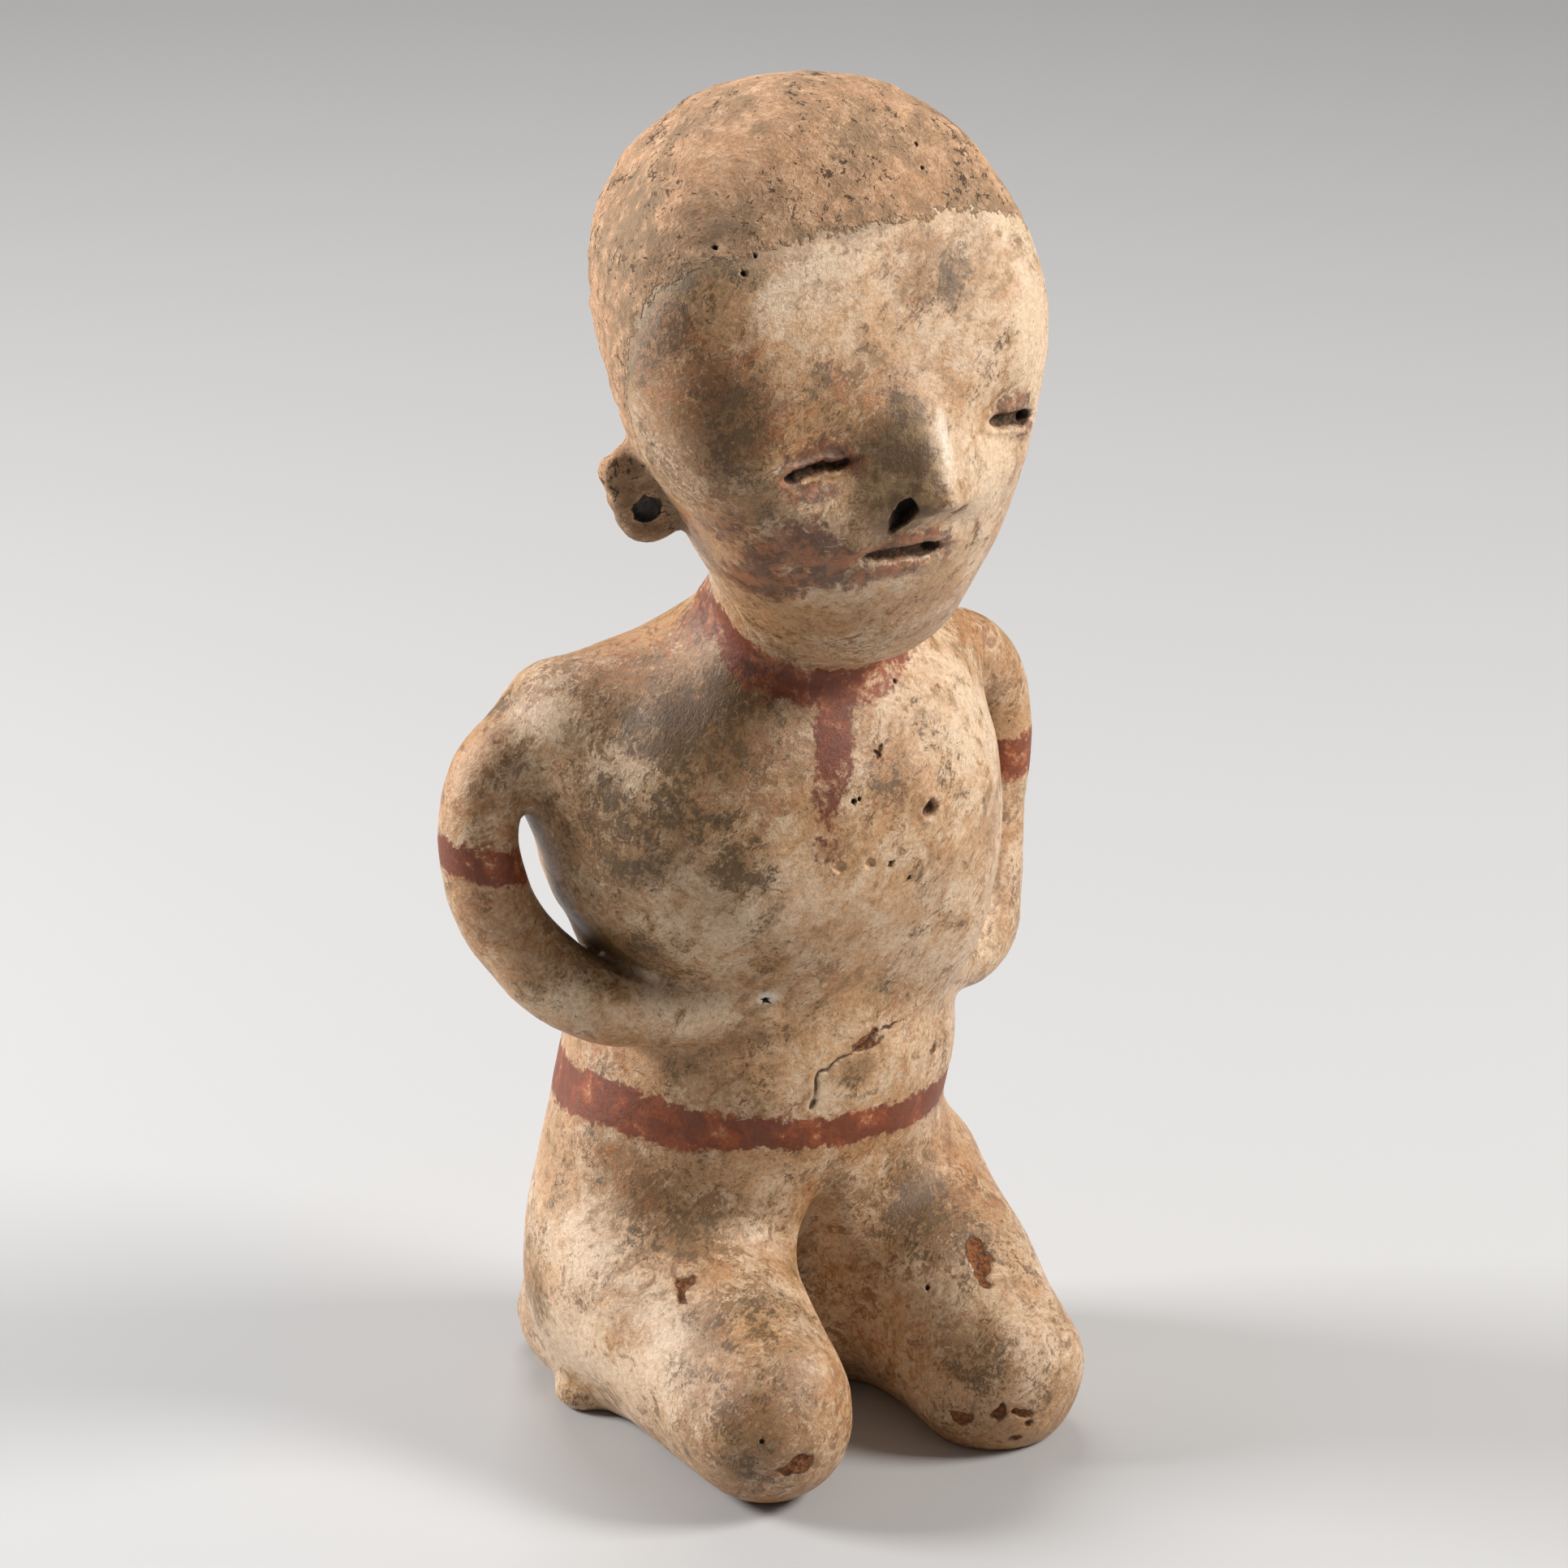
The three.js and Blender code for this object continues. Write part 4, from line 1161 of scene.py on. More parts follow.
@dataclass
class FigureSkin:
    """The figure's visible skin: sampled, refined, pressed, marked and given its place in the frame."""

    form: FigureForm = FigureForm()
    cell: float = 0.55
    rounds: int = 4
    edge_allowance: float = 1.45
    relax_share: float = 0.4
    coarse_edge: float = 0.80
    cap_edge: float = 0.42
    fine_edge: float = 0.17
    pit_edge: float = 0.102
    seam_edge: float = 0.35
    feature_edge: float = 0.4
    nose_area: Spot = Spot((1.0, -24.0, 75.5), (5.5, 6.0, 7.0))
    ear_area: float = 4.6
    flake_edge: float = 0.25
    grid_low: Point = (-25.81, -28.92, -1.12)
    grid_high: Point = (26.5, 14.6, 102.0)
    hand: Tuple[LumpLayer, ...] = (
        LumpLayer(0.30, 7.0, 1),
        LumpLayer(0.14, 3.1, 2),
        LumpLayer(0.035, 1.3, 3),
    )
    cap_crumbs: Tuple[LumpLayer, ...] = (LumpLayer(0.07, 1.2, 4), LumpLayer(0.05, 0.6, 5))
    cap_crust: float = 0.20
    cap_below: float = 0.06
    flake_depth: float = 0.22
    crack_depth: float = 0.16
    crease_reach: float = 1.6
    paint: RedPaint = RedPaint()
    cap: BareCap = BareCap()
    wear: Wear = Wear()
    slits: Tuple[Slit, ...] = (
        Slit((-9.5, 76.75), (-4.4, 77.4), 0.72, 0.75, -0.86, 0.16, 0.6, 0.22),
        Slit((7.0, 77.8), (11.3, 77.2), 1.05, 0.75, 0.80, 0.10, 0.34, 0.20),
        Slit((-3.9, 70.4), (2.8, 69.9), 1.35, 0.80, 0.84, 0.12, 0.34, 0.16),
    )
    pokes: Tuple[Poke, ...] = (
        Poke((-1.55, -25.35, 73.5), (-0.72, 1.83, -2.84), (0.62, 0.74, 0.25), 1.60, 0.84, 1.8),
        Poke((3.1, -24.9, 73.0), (0.75, 0.4, 0.0), (-0.2, 0.3, 0.95), 0.8, 0.6, 1.2),
        Poke((6.4, -15.9, 47.8), (1.0, 0.0, 0.0), (-0.2, 1.0, 0.1), 0.72, 0.70, 0.55, 0.16, 2.0, 0.34),
        Poke((2.8, -15.2, 52.6), (1.0, 0.0, 1.2), (0.0, 1.0, 0.2), 0.60, 0.15, 0.22, 0.08, 1.4, 0.6),
        Poke((2.6, -15.2, 52.5), (1.0, 0.0, -0.9), (0.0, 1.0, 0.2), 0.45, 0.14, 0.20, 0.08, 1.4, 0.5),
    )
    pits: Tuple[Pit, ...] = (
        Pit(0.0, 49.7, 0.22, 0.30), Pit(0.5, 49.8, 0.18, 0.25), Pit(3.0, 44.6, 0.16, 0.2),
        Pit(4.7, 43.0, 0.19, 0.25), Pit(-1.2, 45.1, 0.5, 0.25, 0.1), Pit(1.2, 44.9, 0.45, 0.25, 0.12),
        Pit(5.4, 56.4, 0.2, 0.25), Pit(-12.0, 6.9, 0.2, 0.2), Pit(6.0, 11.4, 0.2, 0.2),
        Pit(-12.0, 92.0, 0.18, 0.2), Pit(-10.8, 90.4, 0.22, 0.25), Pit(-9.8, 91.4, 0.13, 0.15),
        Pit(4.9, 96.4, 0.2, 0.2), Pit(4.6, 95.0, 0.18, 0.2), Pit(-4.6, 34.2, 0.2, 0.4),
    )
    marks: Dict[Mark, Array] = field(default_factory=dict)
    middle: Tuple[float, float] = (0.0, 0.0)

    def edge_wanted(self, p: Array) -> Array:
        """Longest edge wanted: fine at cuts, crack and flakes, medium on the rough cap and nose, else coarse.

        Args:
            p: Points.

        Returns:
            An edge length at each point.
        """
        want = np.full(len(p), self.coarse_edge)
        high = p[:, 2] > np.where(p[:, 0] < -9.0, 78.0, 88.0)
        want = np.where(high & (p[:, 1] < 2.0), self.cap_edge, want)
        want = np.where(self.form.seam.distance(p) < 0.9, self.seam_edge, want)
        want = np.where(self.nose_area.nearness(p) > 0.0, self.feature_edge, want)
        for ear in self.form.head.ears:
            close = np.linalg.norm(p - np.array(ear.centre), axis=1) < self.ear_area
            want = np.where(close, self.feature_edge, want)
        for slit in self.slits:
            middle = self.form.front(*(np.array(slit.start) + np.array(slit.end)) / 2)
            half = 0.5 * abs(slit.end[0] - slit.start[0])
            q = np.abs(p - middle) / np.array([half + 0.7, 2.5, 1.0])
            want = np.where(q.max(1) < 1.0, self.fine_edge, want)
        for poke in self.pokes:
            reach = 1.45 * max(poke.half_length, poke.half_width)
            want = np.where(np.linalg.norm(p - np.array(poke.at), axis=1) < reach, self.fine_edge, want)
        for pit in self.pits:
            close = np.linalg.norm(p - self.form.front(pit.across, pit.up), axis=1) < 1.4 * pit.radius
            want = np.where(close, self.pit_edge, want)
        flake = self.wear.flake_edge(p)
        want = np.where(flake > -1.2, np.minimum(want, self.flake_edge), want)
        line, _ = self.wear.crack.measure(p)
        return np.where(line > -0.55, np.minimum(want, self.fine_edge), want)

    def sample(self) -> SampledSurface:
        """Samples the form, settles it, refines it in steps and evens it out.

        Returns:
            The smooth surface before anything is pressed into it.
        """
        surface = SampledSurface.of(self.form, self.grid_low, self.grid_high, self.cell)
        log.info("sampled %d points, %d open edges", len(surface.points), surface.open_edges())
        surface.points = self.form.settle(surface.points)
        for _ in range(self.rounds):
            if not surface.refine(lambda p: self.edge_allowance * self.edge_wanted(p)):
                break
            surface.points = self.form.settle(surface.points, 1)
            surface.relax(self.form.normals(surface.points), self.relax_share)
        surface.points = self.form.settle(surface.points, 2)
        log.info("refined to %d triangles", len(surface.triangles))
        return surface

    def press(self, p: Array, normals: Array) -> Array:
        """Presses the marks of making and wear into the skin and notes where they are.

        The hand's unevenness is three sizes of lumps. The bare cap is rougher. Cuts and pokes push points
        along their own direction, and flakes and the crack sink along the skin's own.

        Args:
            p: Points on the smooth form.
            normals: Outward directions there.

        Returns:
            The pressed points.
        """
        bare = self.cap.write(self.form, p)
        rough = smooth(bare, -0.5, 2.0)
        uneven = unevenness(self.hand, p) * smooth(p[:, 2], 0.0, 4.0)
        crust = lumps(p * np.array([0.45, 0.45, 1.5]), 1.1, 7) * smooth(-p[:, 0], 5.0, 12.0)
        uneven += rough * (unevenness(self.cap_crumbs, p) + self.cap_crust * crust) - self.cap_below * rough
        flake = self.wear.flake_edge(p)
        crack = self.wear.crack_depth(p)
        sink = self.flake_depth * smooth(flake, -0.3, 0.4) * (1.0 + 0.5 * lumps(p, 0.5, 6))
        sink = sink + self.crack_depth * crack
        moved = p + (uneven - sink)[:, None] * normals
        # How deep each point lies in a cut, poke, pit or ear hole, for grime and painted shade there.
        hollow = np.zeros(len(p))
        for tool in (*self.slits, *self.pokes, *self.pits):
            push, deep = tool.press(self.form, p)
            moved += push
            hollow = np.maximum(hollow, deep)
        for ear in self.form.head.ears:
            hollow = np.maximum(hollow, ear.in_hole(p))
        moved[:, 2] = np.maximum(moved[:, 2], 0.0)
        self.marks[Mark.BARE_EDGE] = bare
        self.marks[Mark.FLAKE_EDGE] = flake
        self.marks[Mark.CRACK] = crack
        self.marks[Mark.HOLLOW] = hollow
        return moved

    def note(self, p: Array, normals: Array) -> None:
        """Writes the soft marks: paint, smoke clouds with painted shade among them, the nose's stain with its
        painted shade, warmth, pale slip with painted highlights, and where the form folds in on itself, which
        the material darkens as painted shade.

        A point a little way out along the normal is nearer the figure than it should be where the form
        folds in: the crease is one less that distance over the way out.

        Args:
            p: Points on the smooth form.
            normals: Outward directions there.
        """
        self.marks[Mark.RED_EDGE], self.marks[Mark.RED_STRENGTH] = self.paint.write(p)
        self.marks[Mark.BLUSH] = strongest(self.paint.blushes, p)
        self.marks[Mark.STAIN_AND_SHADE] = self.wear.stain(p)
        self.marks[Mark.SMOKE] = strongest(self.wear.clouds, p)
        self.marks[Mark.WARM] = strongest(self.wear.warmth, p)
        self.marks[Mark.PALE] = strongest(self.wear.pale_slips_and_highlights, p)
        # The crease mark steers painted shade in the folds.
        away = self.form.distance(p + self.crease_reach * normals)
        self.marks[Mark.CREASE] = np.clip(1.0 - away / self.crease_reach, 0.0, 1.0)

    def build(self) -> bpy.types.Object:
        """Makes the skin's mesh object in the frame, with its marks as point attributes.

        The middle of the skin's box, seen from above, lies over the frame's origin, as the solid's does.

        Returns:
            The skin.
        """
        surface = self.sample()
        smooth_points = surface.points
        normals = self.form.normals(smooth_points)
        middle = (smooth_points.min(0) + smooth_points.max(0)) / 2
        self.middle = (float(middle[0]), float(middle[1]))
        self.note(smooth_points, normals)
        pressed = self.press(smooth_points, normals)
        place = (pressed - np.array([*self.middle, 0.0])) * UNIT

        mesh = bpy.data.meshes.new("figure_skin")
        mesh.vertices.add(len(place))
        mesh.vertices.foreach_set("co", place.astype(np.float32).ravel())
        mesh.loops.add(3 * len(surface.triangles))
        mesh.loops.foreach_set("vertex_index", surface.triangles.astype(np.int32).ravel())
        mesh.polygons.add(len(surface.triangles))
        mesh.polygons.foreach_set("loop_start", np.arange(0, 3 * len(surface.triangles), 3, dtype=np.int32))
        mesh.polygons.foreach_set("use_smooth", np.ones(len(surface.triangles), bool))
        mesh.update(calc_edges=True)
        mesh.validate()
        for mark, values in self.marks.items():
            attribute = mesh.attributes.new(mark.value, "FLOAT", "POINT")
            attribute.data.foreach_set("value", values.astype(np.float32))
        log.info("skin: %d triangles, middle %s", len(surface.triangles), self.middle)
        return put("figure_skin", mesh)


def put(name: str, data: bpy.types.ID) -> bpy.types.Object:
    """Makes an object of some data and links it to the scene."""
    made = bpy.data.objects.new(name, data)
    bpy.context.scene.collection.objects.link(made)
    return made


def face_back(made: bpy.types.Object, way: Vector) -> None:
    """Turns a camera or a lamp to look against a direction."""
    made.rotation_mode = "QUATERNION"
    made.rotation_quaternion = (-way).to_track_quat("-Z", "Y")


def tint(code: str) -> Tuple[float, float, float, float]:
    """The linear colour of a screen colour: each part over 255, less 0.04 by division, else to the power 2.4.

    Args:
        code: Six hexadecimal digits.

    Returns:
        Red, green, blue and 1.
    """
    parts = [int(code[i:i + 2], 16) / 255.0 for i in (0, 2, 4)]
    linear = [v / 12.92 if v <= 0.04045 else ((v + 0.055) / 1.055) ** 2.4 for v in parts]
    return (*linear, 1.0)


Socket = bpy.types.NodeSocket


class NodeSheet:
    """Lays out shader nodes in one tree and joins them up."""

    def __init__(self, tree: bpy.types.NodeTree) -> None:
        """Starts a sheet on a tree."""
        self.tree = tree
        self.count = 0

    def node(self, kind: str, **settings: object) -> bpy.types.Node:
        """Adds a node of a kind and sets its own properties."""
        made = self.tree.nodes.new(kind)
        made.location = (180 * (self.count % 12), -220 * (self.count // 12))
        self.count += 1
        for name, value in settings.items():
            setattr(made, name, value)
        return made

    def feed(self, socket: Socket, value: object) -> None:
        """Links a socket to another node's output, or sets its number or colour."""
        if isinstance(value, bpy.types.NodeSocket):
            self.tree.links.new(value, socket)
        else:
            socket.default_value = value

    def drawn(self, place: Socket, longer: Point, turn: Point = (0.0, 0.0, 0.0)) -> Socket:
        """A place whose patterns are drawn out along each of its own ways, turned by angles in degrees."""
        made = self.node("ShaderNodeMapping", vector_type="TEXTURE")
        self.feed(made.inputs["Vector"], place)
        made.inputs["Rotation"].default_value = [math.radians(a) for a in turn]
        made.inputs["Scale"].default_value = longer
        return made.outputs["Vector"]

    def math(self, work: str, a: object, b: object = 0.0) -> Socket:
        """One sum on two values."""
        made = self.node("ShaderNodeMath", operation=work)
        self.feed(made.inputs[0], a)
        self.feed(made.inputs[1], b)
        return made.outputs[0]

    def ease(self, value: object, low: float, high: float, start: float = 0.0, end: float = 1.0) -> Socket:
        """Runs a value from start to end between low and high along a soft S."""
        made = self.node("ShaderNodeMapRange", interpolation_type="SMOOTHSTEP")
        for name, given in (("Value", value), ("From Min", low), ("From Max", high),
                            ("To Min", start), ("To Max", end)):
            self.feed(made.inputs[name], given)
        return made.outputs["Result"]

    def mix(self, share: object, a: object, b: object, blend: str = "MIX") -> Socket:
        """Mixes two colours by a share."""
        made = self.node("ShaderNodeMix", data_type="RGBA", blend_type=blend)
        self.feed(made.inputs["Factor"], share)
        self.feed(made.inputs[6], a)
        self.feed(made.inputs[7], b)
        return made.outputs[2]

    def blend(self, share: object, a: object, b: object) -> Socket:
        """Mixes two numbers by a share."""
        made = self.node("ShaderNodeMix", data_type="FLOAT")
        self.feed(made.inputs["Factor"], share)
        self.feed(made.inputs[2], a)
        self.feed(made.inputs[3], b)
        return made.outputs[0]

    def total(self, *terms: Tuple[Socket, float]) -> Socket:
        """Adds up values, each times its own weight."""
        running: Socket = None
        for value, weight in terms:
            made = self.node("ShaderNodeMath", operation="MULTIPLY_ADD")
            self.feed(made.inputs[0], value)
            self.feed(made.inputs[1], weight)
            self.feed(made.inputs[2], 0.0 if running is None else running)
            running = made.outputs[0]
        return running

    def times(self, a: object, b: object) -> Socket:
        """One value times another."""
        return self.math("MULTIPLY", a, b)

    def most(self, a: object, b: object) -> Socket:
        """The greater of two values."""
        return self.math("MAXIMUM", a, b)

    def coat(self, colour: object, over: str, by: object, low: float, high: float) -> Socket:
        """Lays a colour over another where a value rises from low to high."""
        return self.mix(self.ease(by, low, high), colour, tint(over))

    def shade(self, colour: Socket, amount: Socket) -> Socket:
        """Makes a colour lighter or darker by a factor."""
        made = self.node("ShaderNodeVectorMath", operation="SCALE")
        self.feed(made.inputs[0], colour)
        self.feed(made.inputs["Scale"], amount)
        return made.outputs[0]

    def group(self, tree: bpy.types.NodeTree, **given: object) -> bpy.types.Node:
        """Places a node group and feeds its inputs by name, with a space for each underscore."""
        made = self.node("ShaderNodeGroup", node_tree=tree)
        for name, value in given.items():
            self.feed(made.inputs[name.replace("_", " ")], value)
        return made


class Kind(Enum):
    """What a node group's socket carries."""

    NUMBER = "NodeSocketFloat"
    COLOUR = "NodeSocketColor"
    PLACE = "NodeSocketVector"


KINDS = {"Place": Kind.PLACE, "Colour": Kind.COLOUR}
Sockets = Dict[str, Socket]
Weights = Tuple[Tuple[str, float], ...]


def new_group(name: str, takes: Sequence[str], gives: Sequence[str]) -> Tuple[NodeSheet, Sockets, Sockets]:
    """Starts a shader node group. A socket carries a number unless its name says otherwise.

    Args:
        name: The group's name.
        takes: Names of its inputs.
        gives: Names of its outputs.

    Returns:
        A sheet on the group, its input values by name and its output sockets by name.
    """
    tree = bpy.data.node_groups.new(name, "ShaderNodeTree")
    for way, labels in (("INPUT", takes), ("OUTPUT", gives)):
        for label in labels:
            kind = KINDS.get(label, Kind.NUMBER)
            tree.interface.new_socket(label, in_out=way, socket_type=kind.value)
    sheet = NodeSheet(tree)
    source = sheet.node("NodeGroupInput")
    target = sheet.node("NodeGroupOutput")
    return sheet, {k: source.outputs[k] for k in takes}, {k: target.inputs[k] for k in gives}


@dataclass(frozen=True)
class Grain:
    """One cloudy noise.

    Its fields are the lumps' size in metres, how many finer layers it has and how strong they are, how far
    the pattern is bent by itself, and how it is drawn out and turned, in degrees.
    """

    size: float
    detail: float
    rough: float
    bend: float = 0.0
    longer: Point = (1.0, 1.0, 1.0)
    turn: Point = (0.0, 0.0, 0.0)

    def lay(self, sheet: NodeSheet, place: Socket) -> Socket:
        """Lays the noise on a sheet.

        Args:
            sheet: The sheet that it is laid on.
            place: Where the pattern is read.

        Returns:
            A value round 0.5.
        """
        if any(self.turn) or set(self.longer) != {1.0}:
            place = sheet.drawn(place, self.longer, self.turn)
        made = sheet.node("ShaderNodeTexNoise")
        sheet.feed(made.inputs["Vector"], place)
        for name, value in (("Scale", 1.0 / self.size), ("Detail", self.detail), ("Roughness", self.rough),
                            ("Distortion", self.bend)):
            made.inputs[name].default_value = value
        return made.outputs["Fac"]


def lay_grains(finish: object, sheet: NodeSheet, place: Socket) -> Sockets:
    """Lays every noise that a finish holds.

    Args:
        finish: A dataclass with noises among its fields.
        sheet: The sheet that they are laid on.
        place: Where the patterns are read.

    Returns:
        The values by the fields' names.
    """
    grains = {part.name: getattr(finish, part.name) for part in fields(finish)}
    return {name: grain.lay(sheet, place) for name, grain in grains.items() if isinstance(grain, Grain)}


@dataclass(frozen=True)
class Coat:
    """A colour laid where weighted noises and marks, added up, rise from low to high."""

    colour: str
    by: Weights
    low: float
    high: float
    share: float = 1.0
    blend: str = "MIX"

    def mask(self, sheet: NodeSheet, read: Sockets) -> Socket:
        """How much of the coat there is."""
        return sheet.ease(weigh(sheet, read, self.by), self.low, self.high, 0.0, self.share)

    def lay(self, sheet: NodeSheet, colour: object, read: Sockets) -> Socket:
        """Lays the coat over a colour."""
        return sheet.mix(self.mask(sheet, read), colour, tint(self.colour), self.blend)


def weigh(sheet: NodeSheet, read: Sockets, weights: Weights) -> Socket:
    """Adds up named values, each times its weight."""
    return sheet.total(*((read[name], weight) for name, weight in weights))


@dataclass(frozen=True)
class RaggedEdge:
    """Turns a distance from a drawn edge into a worn, broken edge with small islands."""

    coarse: Grain = Grain(0.0030, 2.0, 0.6, 0.6)
    fine: Grain = Grain(0.0009, 3.0, 0.65)
    coarse_shake: float = 5.0
    fine_shake: float = 3.0

    def group(self) -> bpy.types.NodeTree:
        """Adds two sizes of noise to the distance, then cuts it off sharply at nothing.

        Returns:
            The node group.
        """
        takes = ("Place", "Distance", "Raggedness", "Softness")
        sheet, take, give = new_group("ragged_edge", takes, ("Mask",))
        read = lay_grains(self, sheet, take["Place"])
        coarse = sheet.math("SUBTRACT", read["coarse"], 0.5)
        fine = sheet.math("SUBTRACT", read["fine"], 0.5)
        shake = sheet.total((coarse, self.coarse_shake), (fine, self.fine_shake))
        moved = sheet.math("ADD", take["Distance"], sheet.times(shake, take["Raggedness"]))
        over = sheet.math("DIVIDE", moved, take["Softness"])
        sheet.feed(give["Mask"], sheet.ease(over, -1.0, 1.0))
        return sheet.tree


@dataclass(frozen=True)
class CreamSlip:
    """Burnished cream slip: pale where thick, tan to brown where thin, smoked or in painted shade, dotted and
    streaked, with painted highlights where the pale mark is strongest.
    """

    cream: str = "e0c4a4"
    sand: str = "c09a74"
    tan: str = "8f6b47"
    brown: str = "594225"
    wide: Grain = Grain(0.020, 6.0, 0.60, 0.5)
    patch: Grain = Grain(0.0085, 10.0, 0.74, 0.6, (1.0, 1.0, 1.3), (40.0, 10.0, 25.0))
    blot: Grain = Grain(0.0036, 10.0, 0.78, 0.9, (1.0, 1.3, 1.6), (10.0, 52.0, 30.0))
    crumb: Grain = Grain(0.0021, 9.0, 0.78, 0.8, (1.5, 1.0, 1.1), (25.0, 30.0, -20.0))
    fleck: Grain = Grain(0.0013, 6.0, 0.72, 0.3)
    grain: Grain = Grain(0.0006, 3.0, 0.62)
    dash: Grain = Grain(0.0011, 5.0, 0.70, 1.3, (1.0, 1.0, 2.2), (0.0, 48.0, 20.0))
    busy: Grain = Grain(0.014, 6.0, 0.62, 0.5, turn=(70.0, 20.0, 45.0))
    ground: Coat = Coat(sand, (("patch", 0.6), ("crumb", 0.4)), 0.43, 0.57)
    glow: Coat = Coat("b97a45", (("patch", 0.6), ("crumb", 0.4), ("warm", 0.14)), 0.51, 0.62, 0.70)
    veil: Coat = Coat(sand, (("patch", 0.4), ("blot", 0.3), ("crumb", 0.3), ("pale", -0.06)),
                      0.46, 0.57, 0.70)
    thick: Weights = (("wide", 0.30), ("patch", 0.15), ("blot", 0.55), ("pale", 0.12), ("smoke", -0.11))
    thick_from: float = 0.450
    thick_full: float = 0.505
    thick_share: float = 0.86
    light: Coat = Coat(cream, (("crumb", 0.50), ("fleck", 0.35), ("busy", 0.15), ("pale", 0.05),
                               ("smoke", -0.03)), 0.505, 0.545, 0.62)
    wash: Coat = Coat("dcc1a0", (("wide", 0.35), ("patch", 0.35), ("crumb", 0.3), ("warm", 0.10),
                                 ("smoke", 0.06), ("pale", -0.06)), 0.45, 0.57, 0.90, "MULTIPLY")
    haze: Coat = Coat("7f643e", (("patch", 0.45), ("blot", 0.45), ("busy", 0.10), ("smoke", 0.10)),
                      0.50, 0.60, 0.62)
    stain: Coat = Coat(brown, (("patch", 0.15), ("crumb", 0.35), ("dash", 0.30), ("busy", 0.30),
                               ("smoke", 0.105), ("pale", -0.02)), 0.590, 0.632, 0.76)
    dots: Coat = Coat("2e2319", (("grain", 0.33), ("fleck", 0.30), ("dash", 0.35), ("busy", 0.22),
                                 ("smoke", 0.03)), 0.672, 0.712, 0.66)
    # Painted shade: darkens the creases where the form folds in.
    folds: Coat = Coat(brown, (("crease", 1.0),), 0.40, 0.90, 0.6)
    # Painted highlights, and pale thick slip, where the pale mark is strongest.
    chalk_and_highlight: Coat = Coat("ebdfcf", (("pale", 1.0),), 0.9, 1.7, 0.8)
    height: Weights = (("fleck", 0.9), ("grain", 0.3), ("dash", 0.6), ("crumb", 0.8), ("thick", 1.0))

    def group(self) -> bpy.types.NodeTree:
        """Layers of noise from large clouds to fine specks, cut off sharply and steered by the marks.

        Returns:
            The node group.
        """
        # Smoke holds smoke clouds with painted shade, Pale holds pale slip with painted highlights, and
        # Crease steers painted shade in the folds.
        marks = ("Smoke", "Warm", "Pale", "Crease")
        sheet, take, give = new_group("cream_slip", ("Place", *marks), ("Colour", "Roughness", "Height"))
        read = lay_grains(self, sheet, take["Place"])
        read.update({name.lower(): take[name] for name in marks})
        read["thick"] = weigh(sheet, read, self.thick)

        buff = self.veil.lay(sheet, tint(self.cream), read)
        colour = self.ground.lay(sheet, tint(self.tan), read)
        colour = self.glow.lay(sheet, colour, read)
        cover = sheet.ease(read["thick"], self.thick_from, self.thick_full, 0.0, self.thick_share)
        colour = sheet.mix(cover, colour, buff)
        for coat in (self.light, self.wash, self.haze, self.stain, self.dots, self.folds, self.chalk_and_highlight):
            colour = coat.lay(sheet, colour, read)
        sand = sheet.total((read["grain"], 0.5), (read["fleck"], 0.5))
        colour = sheet.shade(colour, sheet.ease(sand, 0.36, 0.64, 0.80, 1.16))

        sheet.feed(give["Colour"], colour)
        rubbed = sheet.total((read["thick"], 0.6), (read["fleck"], -0.4))
        sheet.feed(give["Roughness"], sheet.ease(rubbed, 0.02, 0.20, 0.43, 0.26))
        sheet.feed(give["Height"], weigh(sheet, read, self.height))
        return sheet.tree


@dataclass(frozen=True)
class RedSlip:
    """Red painted slip: iron red, browner where thick, rubbed through in flecks."""

    deep: str = "6f2b05"
    light: Coat = Coat("a34b16", (("patch", 1.0),), 0.45, 0.70)
    patch: Grain = Grain(0.006, 8.0, 0.66, 0.2)
    fleck: Grain = Grain(0.0014, 6.0, 0.68)
    left: Weights = (("strength", 0.55), ("patch", -0.9), ("fleck", -0.6))
    opacity: float = 0.94

    def group(self) -> bpy.types.NodeTree:
        """Two reds mixed by noise, with an opacity broken by strokes and flecks.

        Returns:
            The node group.
        """
        sheet, take, give = new_group("red_slip", ("Place", "Strength"), ("Colour", "Opacity"))
        read = lay_grains(self, sheet, take["Place"])
        read["strength"] = take["Strength"]
        colour = self.light.lay(sheet, tint(self.deep), read)
        colour = sheet.shade(colour, sheet.ease(read["fleck"], 0.3, 0.7, 0.82, 1.16))
        left = weigh(sheet, read, self.left)
        sheet.feed(give["Colour"], colour)
        sheet.feed(give["Opacity"], sheet.ease(left, -0.46, -0.30, 0.0, self.opacity))
        return sheet.tree


